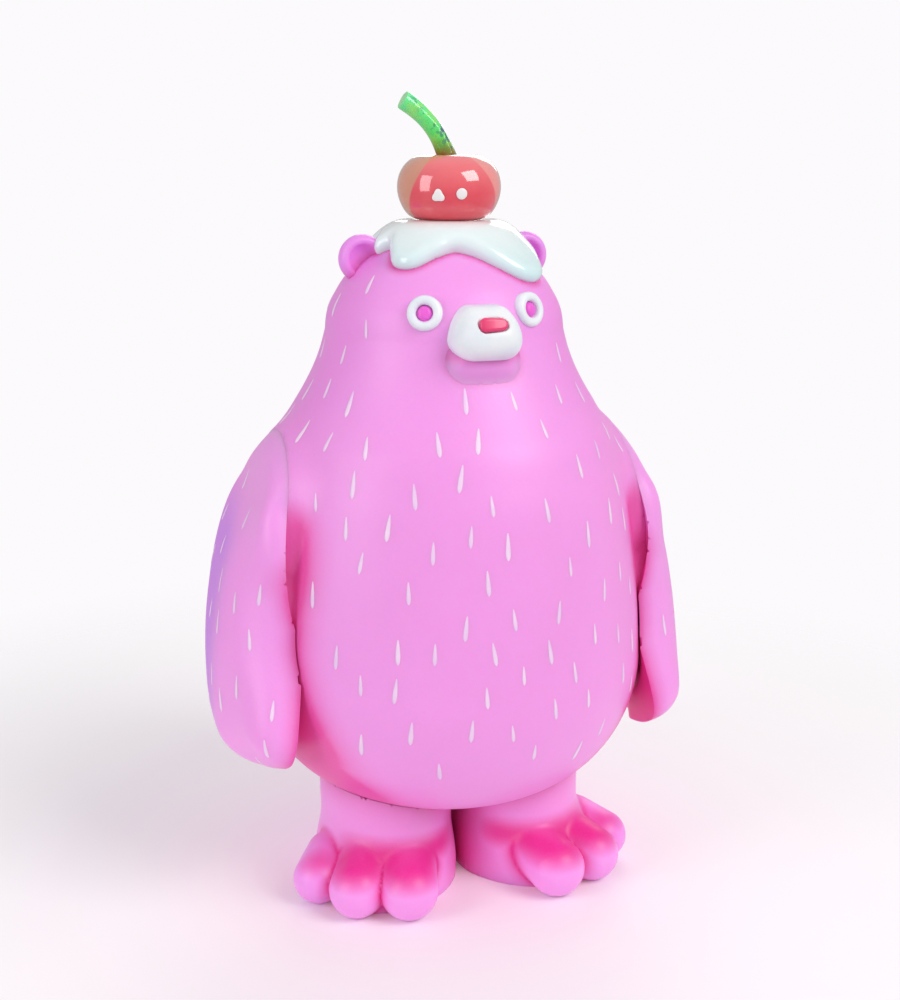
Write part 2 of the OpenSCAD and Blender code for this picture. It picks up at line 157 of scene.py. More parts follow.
# %% Carving a mesh out of fields
SETTLE_STEPS = 5


def slope_of(field, p, eps=0.02):
    """Gradient of a field at points p."""
    g = np.empty_like(p)
    for k in range(3):
        d = np.zeros(3)
        d[k] = eps
        g[:, k] = (field(p + d) - field(p - d)) / (2 * eps)
    return g


def carve(fields, low, high, step):
    """Vertices and quads of the solid where every field is negative."""
    low, high = np.array(low, float), np.array(high, float)
    counts = np.ceil((high - low) / step).astype(int) + 1
    axes = [low[k] + step * np.arange(counts[k]) for k in range(3)]
    grid = np.stack(np.meshgrid(*axes, indexing="ij"), -1)
    v = np.max([f(grid) for f in fields], axis=0)
    v[np.abs(v) < 1e-6] = 1e-6
    inside = v < 0
    corners = [(a, b, c) for a in (0, 1) for b in (0, 1) for c in (0, 1)]
    n = counts - 1

    def corner(block, c):
        return block[c[0] : c[0] + n[0], c[1] : c[1] + n[1], c[2] : c[2] + n[2]]

    total = sum(corner(inside, c).astype(np.int8) for c in corners)
    active = (total > 0) & (total < 8)
    cells = np.argwhere(active)
    index = -np.ones(active.shape, int)
    index[active] = np.arange(len(cells))
    where, hits = np.zeros((len(cells), 3)), np.zeros(len(cells))
    for c in corners:
        for k in range(3):
            if c[k]:
                continue
            d = list(c)
            d[k] = 1
            v0, v1 = corner(v, c)[active], corner(v, d)[active]
            crossed = (v0 < 0) != (v1 < 0)
            t = np.where(crossed, v0 / np.where(crossed, v0 - v1, 1), 0)
            point = np.tile(np.array(c, float), (len(cells), 1))
            point[:, k] = t
            where += point * crossed[:, None]
            hits += crossed
    p = low + step * (cells + where / hits[:, None])
    quads = []
    for k in range(3):
        u, w = (k + 1) % 3, (k + 2) % 3
        first = [slice(1, n[a]) for a in range(3)]
        first[k] = slice(0, n[k])
        second = list(first)
        second[k] = slice(1, n[k] + 1)
        a, b = inside[tuple(first)], inside[tuple(second)]
        for flip, found in ((False, a & ~b), (True, b & ~a)):
            at = np.argwhere(found)
            at[:, [u, w]] += 1
            ring = []
            for du, dw in ((-1, -1), (0, -1), (0, 0), (-1, 0)):
                cell = at.copy()
                cell[:, u] += du
                cell[:, w] += dw
                ring.append(index[cell[:, 0], cell[:, 1], cell[:, 2]])
            ring = np.stack(ring, 1)
            quads.append(ring[:, ::-1] if flip else ring)
    near = [f(p) > -0.6 * step for f in fields]
    for _ in range(SETTLE_STEPS):
        for f, close in zip(fields, near):
            if not close.any():
                continue
            q = p[close]
            g = slope_of(f, q)
            move = -f(q)[:, None] * g / np.maximum((g**2).sum(1), 0.05)[:, None]
            far = np.sqrt((move**2).sum(1))
            p[close] = q + move * np.minimum(1, 0.4 * step / np.maximum(far, 1e-9))[:, None]
    return p, np.concatenate(quads)


def mesh_piece(name, points, faces, sharp=40.0):
    """A new object from points in millimetres, smooth, with its sharper edges kept."""
    mesh = bpy.data.meshes.new(name)
    mesh.from_pydata((np.asarray(points) * MM).tolist(), [], [list(map(int, f)) for f in faces])
    mesh.update()
    mesh.shade_smooth()
    mesh.set_sharp_from_angle(angle=math.radians(sharp))
    piece = bpy.data.objects.new(name, mesh)
    bpy.context.scene.collection.objects.link(piece)
    print(name, "has", len(mesh.polygons), "faces")
    return piece


def paint_mask(piece, name, values):
    """One number for each vertex, or one for all, which a material can read by name."""
    attribute = piece.data.attributes.new(name, "FLOAT", "POINT")
    attribute.data.foreach_set("value", np.full(len(piece.data.vertices), values, np.float32))


def points_of(piece):
    """A piece's vertices, in millimetres."""
    co = np.empty(len(piece.data.vertices) * 3, np.float32)
    piece.data.vertices.foreach_get("co", co)
    return co.reshape(-1, 3).astype(float) / MM


# %% [markdown]
# ## The turned body
#
# Head and torso are one casting, round about one upright axis. Its outline is a soft S: a flat
# underside, a wide belly, a long flank and a small round crown. The distance to that outline is
# measured once on a flat table, and looking a point up by its height and its distance from the axis
# turns the table into the whole solid.

# %% The outline and its distance table
FLANK = [
    (0, 1), (0.18, 0.955), (0.36, 0.88), (0.54, 0.765), (0.62, 0.68), (0.70, 0.575), (0.76, 0.44),
    (0.82, 0.30), (0.885, 0.17), (0.945, 0.08), (1, 0.025),
]
UNDER_R = 20.0
dome_z = head_z + 10


def body_r(z):
    """Radius of the turned body at a height."""
    low = np.clip((belly_z - z) / (belly_z - under_z), 0, 1)
    flank = head_r + (belly_r - head_r) * curve(FLANK, (z - belly_z) / (head_z - belly_z))
    dome = head_r * np.sqrt(1 - np.clip((z - head_z) / (crown_z - head_z), 0, 1) ** 2)
    radius = flank + (dome - flank) * ramp(head_z - 3, dome_z, z)
    return np.where(z < belly_z, UNDER_R + (belly_r - UNDER_R) * np.sqrt(1 - low**2), radius)


def body_outline():
    """Points up the outline, from the middle of the underside to the crown."""
    low = np.linspace(0, math.pi / 2, 60, endpoint=False)
    mid = np.linspace(belly_z, dome_z, 170, endpoint=False)
    top = np.linspace(math.asin((dome_z - head_z) / (crown_z - head_z)), math.pi / 2, 64)
    return np.concatenate([
        [[0, under_z]],
        np.stack([UNDER_R + (belly_r - UNDER_R) * np.sin(low),
                  belly_z - (belly_z - under_z) * np.cos(low)], 1),
        np.stack([body_r(mid), mid], 1),
        np.stack([head_r * np.cos(top), head_z + (crown_z - head_z) * np.sin(top)], 1),
    ])


def distance_table(loop, low, high, step):
    """Signed distance to a closed flat outline, at every point of a grid."""
    xs, ys = np.arange(low[0], high[0], step), np.arange(low[1], high[1], step)
    p = np.stack(np.meshgrid(xs, ys, indexing="ij"), -1).reshape(-1, 2)
    best, odd = np.full(len(p), 1e9), np.zeros(len(p), bool)
    for a, b in zip(loop, np.roll(loop, -1, 0)):
        ab = b - a
        if ab @ ab < 1e-12:
            continue
        t = np.clip(((p - a) @ ab) / (ab @ ab), 0, 1)
        if max(abs(a[0]), abs(b[0])) > 1e-6 or low[0] < 0:
            best = np.minimum(best, ((p - a - t[:, None] * ab) ** 2).sum(1))
        spans = (a[1] > p[:, 1]) != (b[1] > p[:, 1])
        x = a[0] + (p[:, 1] - a[1]) * ab[0] / (ab[1] if abs(ab[1]) > 1e-12 else 1e-12)
        odd ^= spans & (p[:, 0] < x)
    signed = np.where(odd, -1, 1) * np.sqrt(best)
    return signed.reshape(len(xs), len(ys)), np.array(low, float), step


def look_up(table, x, y):
    """Value of a table between its grid points."""
    values, low, step = table
    gx = np.clip((x - low[0]) / step, 0, values.shape[0] - 1.001)
    gy = np.clip((y - low[1]) / step, 0, values.shape[1] - 1.001)
    i, j = gx.astype(int), gy.astype(int)
    fx, fy = gx - i, gy - j
    return (
        values[i, j] * (1 - fx) * (1 - fy) + values[i + 1, j] * fx * (1 - fy)
        + values[i, j + 1] * (1 - fx) * fy + values[i + 1, j + 1] * fx * fy
    )


body_table = distance_table(body_outline(), (0, 0), (105, 205), 0.5)


def turned_body(p):
    """Distance to the head and torso without shoulders."""
    return look_up(body_table, np.sqrt(p[..., 0] ** 2 + p[..., 1] ** 2), p[..., 2])


print("outline table", body_table[0].shape)

# %% [markdown]
# ## Shoulders and flippers
#
# A flipper is a soft paddle that turns on a round face leaning in with the flank. The paddle and
# the body are first joined as one form, with a wide fillet over the shoulder that closes to
# nothing where the paddle hangs free. Then that one form is parted at the joint's plane: what lies
# inside belongs to the body, and what lies outside to the flipper. Both skins come from the same
# form, so the shoulder runs over the joint without a step. The flipper's inner side follows the
# belly, at the height that lets it swing.

# %% The shoulder's own directions
SHOULDER_R, ARM_LEN = 22.0, 60.0


class Shoulder:
    """Down the arm, forward and outward, measured from the joint."""

    def __init__(self, side):
        joint = next(j for j in frame["joints"] if j["name"] == SIDES[side] + "_shoulder")
        self.side = side
        self.at = np.array(joint["pos_m"], float) / MM
        axis = np.array(joint["axis"], float)
        self.out = axis * np.sign(axis[0]) * side
        self.down = np.array([self.out[2] * side, 0, -abs(self.out[0])])
        self.front = np.array([0.0, -1.0, 0.0])

    def local(self, p):
        """Distances down, forward and outward."""
        q = p - self.at
        return q @ self.down, q @ self.front, q @ self.out

    def world(self, p):
        """Back from (down, forward, outward)."""
        return self.at + p[:, :1] * self.down + p[:, 1:2] * self.front + p[:, 2:3] * self.out


shoulders = {side: Shoulder(side) for side in SIDES}
print("shoulder joints at", [s.at.round(1).tolist() for s in shoulders.values()])

# %% The paddle's outline, crown and inner floor
ARM_EDGE = [
    (-180, 0), (-90, 0), (-62, 0.04), (-42, 0.16), (-28, 0.36), (-18, 0.60), (-8, 0.86), (4, 0.975),
    (16, 1), (26, 1), (31, 0.97), (34.5, 0.86), (38, 0.62), (42, 0.41), (48, 0.27), (56, 0.18),
    (66, 0.12), (80, 0.07), (100, 0.02), (120, 0), (180, 0),
]
ARM_CROWN = [
    (-24, 0.6), (-13, 3.7), (-2, 7.2), (9, 9.6), (20, 10.3), (31, 10.0), (43, 8.6), (50, 7.2),
    (60, 5.2),
]
FACE_GAP, SWING = 0.3, 90
lean = math.acos(abs(shoulders[1].out[0]))


def outline_of_arm():
    """Corner points of the flat paddle, as (down, forward)."""
    a = np.radians(np.arange(-180, 180, 1.5))
    r = SHOULDER_R + (ARM_LEN - SHOULDER_R) * curve(ARM_EDGE, np.degrees(a))
    return np.stack([r * np.cos(a), r * np.sin(a)], 1)


def floor_of_arm(down, front):
    """Height of the paddle's inner side over the shoulder face, clear of the body as it swings."""
    r, a = np.hypot(down, front), np.degrees(np.arctan2(front, down))
    face_x = lambda z: shoulders[1].at[0] + math.tan(lean) * (shoulders[1].at[2] - z)
    clear = np.full(r.shape, -50.0)
    for turn in np.arange(0, SWING + 1, 7.5):
        t = np.radians(a + turn)
        z, f = shoulders[1].at[2] - r * np.cos(t) * math.cos(lean), r * np.sin(t)
        wide = np.where(z < under_z, 0, body_r(z))
        over = (np.sqrt(np.maximum(wide**2 - f**2, 0)) - face_x(z)) * math.cos(lean)
        clear = np.maximum(clear, np.where(wide > np.abs(f), over, -50))
    z = shoulders[1].at[2] - down * math.cos(lean)
    hang = np.minimum(0, belly_r + FACE_GAP - face_x(z))
    tuck = np.maximum(clear + 1.5 * FACE_GAP, hang + (-8 - hang) * ramp(4, 14, front))
    lower_half = 1 - ramp(88, 108, np.abs(a))
    return np.where(r <= SHOULDER_R, 0, tuck * ramp(SHOULDER_R, SHOULDER_R + 4, r) * lower_half)


edge_table = distance_table(outline_of_arm(), (-40, -45), (80, 60), 0.5)
floor_grid = np.meshgrid(np.arange(-40, 80, 0.5), np.arange(-45, 60, 0.5), indexing="ij")
floor_table = (floor_of_arm(*floor_grid), np.array([-40.0, -45.0]), 0.5)


def paddle(down, front, out, edge):
    """The flipper's own form: a crowned plate whose edge is rounded over."""
    crown = curve(ARM_CROWN, down) - 5 * ramp(6, 26, front) * ramp(-10, 12, down)
    return round_cut(edge, out - crown, 3.5 + 5.5 * ramp(-10, 14, down))


def fillet(z):
    """Width of the fillet from body to flipper: wide on the shoulder, none where it hangs free."""
    return 0.7 + 9 * ramp(96, 113, z)


def arm_distance(p, side):
    """Distance to a flipper hanging at rest."""
    down, front, out = shoulders[side].local(p)
    return paddle(down, front, out, look_up(edge_table, down, front))


def joined_arm(p, side):
    """Body and one whole flipper as one form."""
    return soft_min(turned_body(p), arm_distance(p, side), fillet(p[..., 2]))


def joined_body(p):
    """Head and torso with the round shoulders that the flippers turn on."""
    d = turned_body(p)
    for side in SIDES:
        down, front, out = shoulders[side].local(p)
        pad = paddle(down, front, out, np.hypot(down, front) - SHOULDER_R)
        d = soft_min(d, pad, fillet(p[..., 2]))
    return d


# %% Carving the body and the flippers
body_skin = mesh_piece("body_skin", *carve(
    [joined_body] + [lambda p, s=s: s.local(p)[2] for s in shoulders.values()],
    (-belly_r - 3, -belly_r - 3, under_z - 3), (belly_r + 3, belly_r + 3, crown_z + 3), 1.1))

flippers = {}
for side, word in SIDES.items():
    here = shoulders[side]
    points, faces = carve(
        [lambda p: joined_arm(here.world(p.reshape(-1, 3)).reshape(p.shape), side),
         lambda p: look_up(floor_table, p[..., 0], p[..., 1]) - p[..., 2]],
        (-32, -30, -14), (66, 44, 14), 0.8)
    flippers[side] = mesh_piece(
        word + "_flipper_skin", here.world(points), faces[:, ::-1] if side > 0 else faces)

# %% [markdown]
# ## Legs and toes
#
# Each leg is a short oval column that spreads into a low foot and ends in three fat toes. The toes
# are capsules that lie side by side and sink into the foot, joined with a very small fillet, so
# that the deep creases between them stay. The sole is cut flat, the inner side is flattened where
# the two legs meet, and the top follows the belly that rests on it.

# %% Carving the legs
LEG_X, LEG_FRONT, LEG_W, LEG_D, TOE_R = 17.8, 4.0, 17.2, 23.0, 7.4
FOOT_TURN = math.radians(22)
TOES = [(27.7, -8.8, 1.0), (27.6, 4.4, 0.96), (21.0, 15.2, 0.88)]


def foot_parts(p, side):
    """Distances to the column with its foot, and to each toe."""
    dx, front, z = p[..., 0] * side - LEG_X, -p[..., 1] - LEG_FRONT, p[..., 2]
    upright = np.stack([dx, front, 0 * z], -1)
    waist = 1 - 0.035 * ramp(22, 12, z)
    column = ellipsoid(upright, (0, 0, 0), (LEG_W, LEG_D, 1e3)) + LEG_W * (1 - waist)
    along = dx * math.sin(FOOT_TURN) + front * math.cos(FOOT_TURN)
    across = dx * math.cos(FOOT_TURN) - front * math.sin(FOOT_TURN)
    turned = np.stack([across, along, z], -1)
    foot = ellipsoid(turned, (0, 0, 3.5), (LEG_W * 1.05, 28, 15))
    toes = []
    for reach, aside, share in TOES:
        rho = TOE_R * share
        tip = np.array([aside, reach, rho * 0.95])
        root = tip + np.array([-0.1 * aside, -9.0, 2.2])
        span = root - tip
        t = np.clip(((turned - tip) @ span) / (span @ span), 0, 1)
        away = np.sqrt(((turned - tip - t[..., None] * span) ** 2).sum(-1))
        toes.append(away - rho * (1 - 0.06 * t))
    return soft_min(column, foot, 7), toes


def leg_form(p, side):
    """One leg with its foot and toes."""
    base, toes = foot_parts(p, side)
    three = soft_min(soft_min(toes[0], toes[1], 0.9), toes[2], 0.9)
    return soft_max(soft_min(base, three, 1.8), 0.35 - p[..., 0] * side, 2.4)


legs = {}
for side, word in SIDES.items():
    low = (-2, -42, -1) if side > 0 else (-52, -42, -1)
    high = (52, 24, 46) if side > 0 else (2, 24, 46)
    legs[side] = mesh_piece(word + "_leg_skin", *carve(
        [lambda p: leg_form(p, side), lambda p: -p[..., 2], lambda p: 0.1 - turned_body(p)],
        low, high, 0.8))

# %% [markdown]
# ## Pieces turned on a lathe
#
# Eyes, pupils, ears and the cherry are all round about their own axis, so each is a smooth profile
# spun into rings, with a single vertex wherever the profile meets the axis. The profile is drawn
# with a few points and a spline runs through them, which keeps every edge rounded.


# %% Spinning a profile
def spline(points, count):
    """Evenly spread points on a smooth line through the given ones."""
    points = np.array(points, float)
    along = np.concatenate([[0], np.cumsum(np.sqrt(((points[1:] - points[:-1]) ** 2).sum(1)))])
    s = np.linspace(0, along[-1], count)
    return np.stack([curve(list(zip(along, points[:, k])), s) for k in range(points.shape[1])], 1)


def spin(profile, around=72, ring=False):
    """Points and faces of (radius, height) pairs spun about +Z, closed at the axis or as a ring."""
    turns = 2 * math.pi * np.arange(around) / around
    points, rows = [], []
    for r, z in profile:
        if abs(r) < 1e-6:
            rows.append([len(points)] * around)
            points.append((0.0, 0.0, z))
        else:
            rows.append(list(range(len(points), len(points) + around)))
            points.extend(zip(r * np.cos(turns), r * np.sin(turns), np.full(around, z)))
    pairs = list(zip(rows, rows[1:])) + ([(rows[-1], rows[0])] if ring else [])
    faces = []
    for a, b in pairs:
        for i in range(around):
            j = (i + 1) % around
            face = [a[i], a[j], b[j], b[i]]
            face = [v for n, v in enumerate(face) if v != face[n - 1]]
            if len(face) > 2:
                faces.append(face)
    return np.array(points, float), faces


def placed(points, at, tilt=0.0, turn=0.0, roll=0.0):
    """Points moved so that +Z faces forward, leaning up by tilt, turned round the head, in degrees."""
    m = (
        Matrix.Rotation(math.radians(turn), 3, "Z")
        @ Matrix.Rotation(math.radians(roll), 3, "Y")
        @ Matrix.Rotation(math.radians(90 - tilt), 3, "X")
    )
    return np.asarray(points) @ np.array(m).T + np.array(at, float)


# %% Eyes and ears
EYE_TURN, EYE_Z, EYE_TILT, EYE_R, PUPIL_R = 27.0, 151.5, 14.0, 4.25, 1.92
ring_profile = spline([
    (PUPIL_R + 0.1, 0.3), (PUPIL_R + 0.12, -1.6), (EYE_R - 0.15, -1.6), (EYE_R, -0.2),
    (EYE_R - 0.1, 0.75), (EYE_R - 0.6, 1.3), (EYE_R - 1.15, 1.42), (PUPIL_R + 0.45, 1.15),
    (PUPIL_R + 0.12, 0.55), (PUPIL_R + 0.1, 0.3)], 34)[:-1]
pupil_profile = spline([
    (0, -1.6), (PUPIL_R - 0.1, -1.6), (PUPIL_R, -0.3), (PUPIL_R - 0.25, 0.45), (1.2, 0.95),
    (0, 1.1)], 18)
pupil_profile[[0, -1], 0] = 0
eyes, pupils, ears = {}, {}, {}
for side, word in SIDES.items():
    turn = math.radians(side * EYE_TURN)
    wide = float(body_r(EYE_Z))
    at = (wide * math.sin(turn), -wide * math.cos(turn), EYE_Z)
    points, faces = spin(ring_profile, 64, ring=True)
    eyes[side] = mesh_piece(word + "_eye_white", placed(points, at, EYE_TILT, side * EYE_TURN), faces)
    points, faces = spin(pupil_profile, 48)
    pupils[side] = mesh_piece(
        word + "_eye_centre", placed(points, at, EYE_TILT, side * EYE_TURN), faces)

EAR_R, EAR_X, EAR_ROLL = 6.0, 21.4, 24
ear_profile = spline([
    (0, -2.5), (EAR_R - 2.2, -2.5), (EAR_R - 0.7, -1.9), (EAR_R, 0), (EAR_R - 0.35, 1.7),
    (EAR_R - 1.2, 2.5), (EAR_R - 2.1, 2.3), (EAR_R - 2.8, 1.3), (EAR_R - 4.0, 0.5), (0, 0.3)], 40)
ear_profile[[0, -1], 0] = 0
for side, word in SIDES.items():
    at = (side * EAR_X, 0, node_box(word + "_ear")[1][2] - EAR_R - 0.2)
    points, faces = spin(ear_profile, 72)
    ears[side] = mesh_piece(word + "_ear_skin", placed(points, at, roll=side * EAR_ROLL), faces)

# %% [markdown]
# ## Muzzle, nose and jaw
#
# The muzzle is a small white cushion that hangs over the jaw, narrower at the top, with a shallow
# pit for the nose. Cutting the pit a hair wider than the nose leaves the fine dark line that a
# painted and set-in nose has. The jaw is a fold of the same vinyl as the head, so its field is
# joined to the head's with a fillet before the head itself is taken away.


# %% Carving the muzzle, nose and jaw
MUZZLE_LOW, MUZZLE_TOP, MUZZLE_FRONT = 140.9, 153.4, -node_box("muzzle_pad")[0][1]
NOSE_AT, NOSE_TILT = np.array([0.0, -(MUZZLE_FRONT - 1.25), 149.75]), 18.0
NOSE_HALF, NOSE_R, NOSE_OUT, NOSE_EDGE = 1.9, 1.6, 0.42, 0.7
PIT_GAP = 0.28


def rounded_box(p, centre, half, radius):
    """Distance to a box whose edges and corners are rounded."""
    q = np.abs(p - np.array(centre, float)) - (np.array(half, float) - radius)
    return np.sqrt((np.maximum(q, 0) ** 2).sum(-1)) + np.minimum(q.max(-1), 0) - radius


def nose_local(p):
    """Points seen from the nose: across, up its face and out of it."""
    q = p - NOSE_AT
    c, s = math.cos(math.radians(NOSE_TILT)), math.sin(math.radians(NOSE_TILT))
    return q[..., 0], q[..., 2] * c + q[..., 1] * s, q[..., 2] * s - q[..., 1] * c


def nose_form(p, grow=0.0):
    """The pill-shaped nose, its face slightly crowned."""
    x, up, out = nose_local(p)
    side = np.hypot(np.maximum(np.abs(x) - NOSE_HALF, 0), up * (1 + 0.04 * x)) - NOSE_R - grow
    plate = round_cut(side, out - NOSE_OUT - grow + 0.02 * x**2, NOSE_EDGE)
    return np.maximum(plate, -out - 1.1 - grow)


def muzzle_form(p):
    """The white cushion."""
    x, y, z = p[..., 0], p[..., 1], p[..., 2]
    narrow = 1 - 0.20 * ramp(145, 153, z) - 0.03 * ramp(143, 140, z)
    q = np.stack([x / narrow, y - 2.6 * ramp(146.5, 153.5, z) - 0.028 * x**2, z], -1)
    deep = (MUZZLE_FRONT - 18) / 2
    middle = (MUZZLE_LOW + MUZZLE_TOP) / 2
    box = rounded_box(q, (0, -18 - deep, middle), (8.7, deep, (MUZZLE_TOP - MUZZLE_LOW) / 2), 4.7)
    return soft_max(box * 0.9, -nose_form(p, PIT_GAP), 0.35)


def jaw_block(p):
    """The jaw under the muzzle on its own."""
    q = np.stack([p[..., 0], p[..., 1] - 0.03 * p[..., 0] ** 2, p[..., 2]], -1)
    return rounded_box(q, (0, -26, 139.9), (7.8, MUZZLE_FRONT - 30.4, 3.4), 3.0)


def jaw_form(p):
    """The jaw run into the head."""
    return soft_min(jaw_block(p), turned_body(p) - 0.05, 2.2)


def not_head(p):
    """Everything but the inside of the head."""
    return -turned_body(p) - 0.6


muzzle = mesh_piece("muzzle_cushion", *carve(
    [muzzle_form, not_head], (-10, -41, 138), (10, -22, 155), 0.42))
nose = mesh_piece("nose_plate", *carve([nose_form], (-4.6, -41, 146.6), (4.6, -34, 153), 0.22))
jaw = mesh_piece("jaw_fold", *carve(
    [jaw_form, not_head, lambda p: jaw_block(p) - 1.75], (-12, -42, 130), (12, -24, 146), 0.5))

# %% [markdown]
# ## The cherry
#
# The cherry is the one loose piece on the head: it turns on a pin through the icing. Its profile is
# a plump barrel with a dimple round the stem.

# %% Spinning the cherry
CHERRY_X, CHERRY_H, PIN_R, PIN_LOW = 1.3, 16.0, 4.0, -6.0
CHERRY_SIDE = [(8.6, 0.35), (10.8, 1.9), (12.3, 4.6), (12.9, 7.8), (12.5, 10.9)]
CHERRY_DIMPLE = [(11.1, 13.5), (8.9, 15.3), (6.4, 16.0), (4.6, 15.6), (3.2, 14.9), (2.2, 14.5)]
cherry_at = np.array([CHERRY_X, 0, node_box("cherry")[1][2] - CHERRY_H])
cherry_profile = np.concatenate([
    [(0, PIN_LOW), (PIN_R - 0.6, PIN_LOW), (PIN_R, PIN_LOW + 0.6), (PIN_R, 0.05)],
    spline([(5.2, 0.05)] + CHERRY_SIDE + CHERRY_DIMPLE, 46),
    [(0, 14.4)]])
points, faces = spin(cherry_profile, 96)
swell = 1 + 0.012 * np.cos(2 * np.arctan2(points[:, 1], points[:, 0]) + 0.6) * ramp(2, 8, points[:, 2])
points[:, :2] *= (swell - 0.006)[:, None]
cherry = mesh_piece("cherry_fruit", points + cherry_at, faces)

# %% [markdown]
# ## Poured icing
#
# Icing runs down a head by its own weight and stops in thick rounded drips. It is easiest to draw
# flat: the head is unrolled from its crown, so that distance on the sheet is distance along the
# skin. On that flat sheet the icing is a wavy disc with a rounded edge, a little thicker along its
# rim where the pour came to rest, and heaped up into a seat under the cherry. Carving it flat and
# then wrapping the points back on to the head gives a sheet that fits the head everywhere.

# %% Drawing the icing flat and wrapping it
ICING_T = 2.3
DRIPS = [
    (-180, 46), (-158, 60), (-138, 44), (-116, 38), (-101, 31), (-91, 35), (-81, 38), (-71, 32),
    (-62, 38), (-52, 46), (-38, 47), (-24, 39), (-9, 34), (6, 38.5), (18, 47), (33, 57), (48, 58),
    (62, 50), (76, 45), (90, 34), (102, 34), (122, 54), (146, 44), (180, 46),
]
crown_h = crown_z - head_z
turn_grid = np.linspace(0, math.radians(100), 400)
arc_grid = np.concatenate([[0], np.cumsum(np.hypot(
    head_r * np.cos(turn_grid[1:]), crown_h * np.sin(turn_grid[1:])) * np.diff(turn_grid))])


def icing_outline():
    """The wavy rim on the unrolled head."""
    around = np.arange(-180, 180, 1.0)
    reach = np.interp(np.radians(curve(DRIPS, around)), turn_grid, arc_grid)
    a = np.radians(around)
    return np.stack([reach * np.sin(a), reach * np.cos(a)], 1)


icing_table = distance_table(icing_outline(), (-42, -42), (42, 42), 0.35)
cherry_table = distance_table(cherry_profile, (0, -8), (26, 20), 0.2)
HOLE_R, SEAT_R, SEAT_Z, SEAT_FALL, RIM_R = 4.6, 11.5, cherry_at[2] + 0.25, 0.08, 2.2


def wrap(p):
    """From the unrolled sheet to the head."""
    arc, around = np.hypot(p[..., 0], p[..., 1]), np.arctan2(p[..., 0], p[..., 1])
    t = np.interp(arc, arc_grid, turn_grid)
    out, up = np.sin(t) / head_r, np.cos(t) / crown_h
    size = np.hypot(out, up)
    r = head_r * np.sin(t) + out / size * p[..., 2]
    z = head_z + crown_h * np.cos(t) + up / size * p[..., 2]
    return np.stack([r * np.sin(around), -r * np.cos(around), z], -1)


def icing_form(p):
    """Icing on the unrolled head: two places on the sheet, then height over the skin."""
    edge = look_up(icing_table, p[..., 0], p[..., 1])
    lump = 0.12 * np.sin(p[..., 0] * 0.31 + 1.3) * np.cos(p[..., 1] * 0.27)
    skin = p[..., 2] - (ICING_T + 0.1 + lump + 0.25 * np.exp(-(((edge + 2.6) / 1.8) ** 2)))
    q = wrap(p) - cherry_at
    r, z = np.hypot(q[..., 0], q[..., 1]), q[..., 2]
    fall = np.maximum(r - SEAT_R, 0)
    mound = (z + cherry_at[2] - SEAT_Z + SEAT_FALL * fall**2) / np.hypot(1, 2 * SEAT_FALL * fall)
    poured = round_cut(edge, soft_min(skin, mound, 2.5), RIM_R)
    poured = soft_max(poured, 0.3 - look_up(cherry_table, r, z), 0.4)
    return soft_max(poured, HOLE_R - r, 0.4)


sheet_points, sheet_faces = carve(
    [icing_form, lambda p: -p[..., 2] - 0.25], (-36, -36, -1), (36, 36, 7), 0.6)
icing = mesh_piece("icing_pour", wrap(sheet_points), sheet_faces[:, ::-1])
print("icing covers", round(icing_outline().max(), 1), "mm along the head")

# %% [markdown]
# ## The stem
#
# The stem is a tube swept along an arc, wider at its root and at its cut end, with a few shallow
# ribs, as a real stalk has.

# %% Sweeping the stem
STEM_R, STEM_BEND, STEM_LEAN, STEM_TURN = 2.35, 26.0, math.radians(17), math.radians(43)
STEM_SWELL = [(0, 1.12), (0.08, 1.04), (0.3, 0.93), (0.6, 0.92), (0.85, 0.98), (0.97, 1.0), (1, 0.96)]
stem_base = cherry_at + np.array([0, 0, CHERRY_H - 1.8])


def sweep_stem(rows=44, around=40):
    """Points and faces of the stalk, closed at both ends."""
    rings = []
    for q in np.concatenate([[0.0], np.linspace(0, 1, rows), [1.0]]):
        a = STEM_LEAN + STEM_TURN * q
        middle = stem_base + STEM_BEND * np.array(
            [math.cos(a) - math.cos(STEM_LEAN), 0, math.sin(a) - math.sin(STEM_LEAN)])
        side, front = np.array([math.cos(a), 0, math.sin(a)]), np.array([0, 1.0, 0])
        turns = 2 * math.pi * np.arange(around) / around
        ribs = 1 + 0.018 * np.sin(5 * turns + 3 * q) + 0.02 * np.sin(3 * turns - 9 * q + 1)
        r = STEM_R * float(curve(STEM_SWELL, q)) * ribs
        rings.append(middle + np.outer(r * np.cos(turns), side) + np.outer(r * np.sin(turns), front))
    rings[0] = rings[0].mean(0) + (rings[0] - rings[0].mean(0)) * 0.85
    rings[-1] = rings[-1].mean(0) + (rings[-1] - rings[-1].mean(0)) * 0.86
    points = np.concatenate(rings + [[rings[0].mean(0)], [rings[-1].mean(0)]])
    faces = [[k * around + i, k * around + (i + 1) % around, (k + 1) * around + (i + 1) % around,
              (k + 1) * around + i] for k in range(len(rings) - 1) for i in range(around)]
    first, last = len(points) - 2, len(points) - 1
    top = (len(rings) - 1) * around
    faces += [[first, (i + 1) % around, i] for i in range(around)]
    faces += [[last, top + i, top + (i + 1) % around] for i in range(around)]
    return points, [f[::-1] for f in faces]


stem = mesh_piece("cherry_stalk", *sweep_stem(), sharp=35)
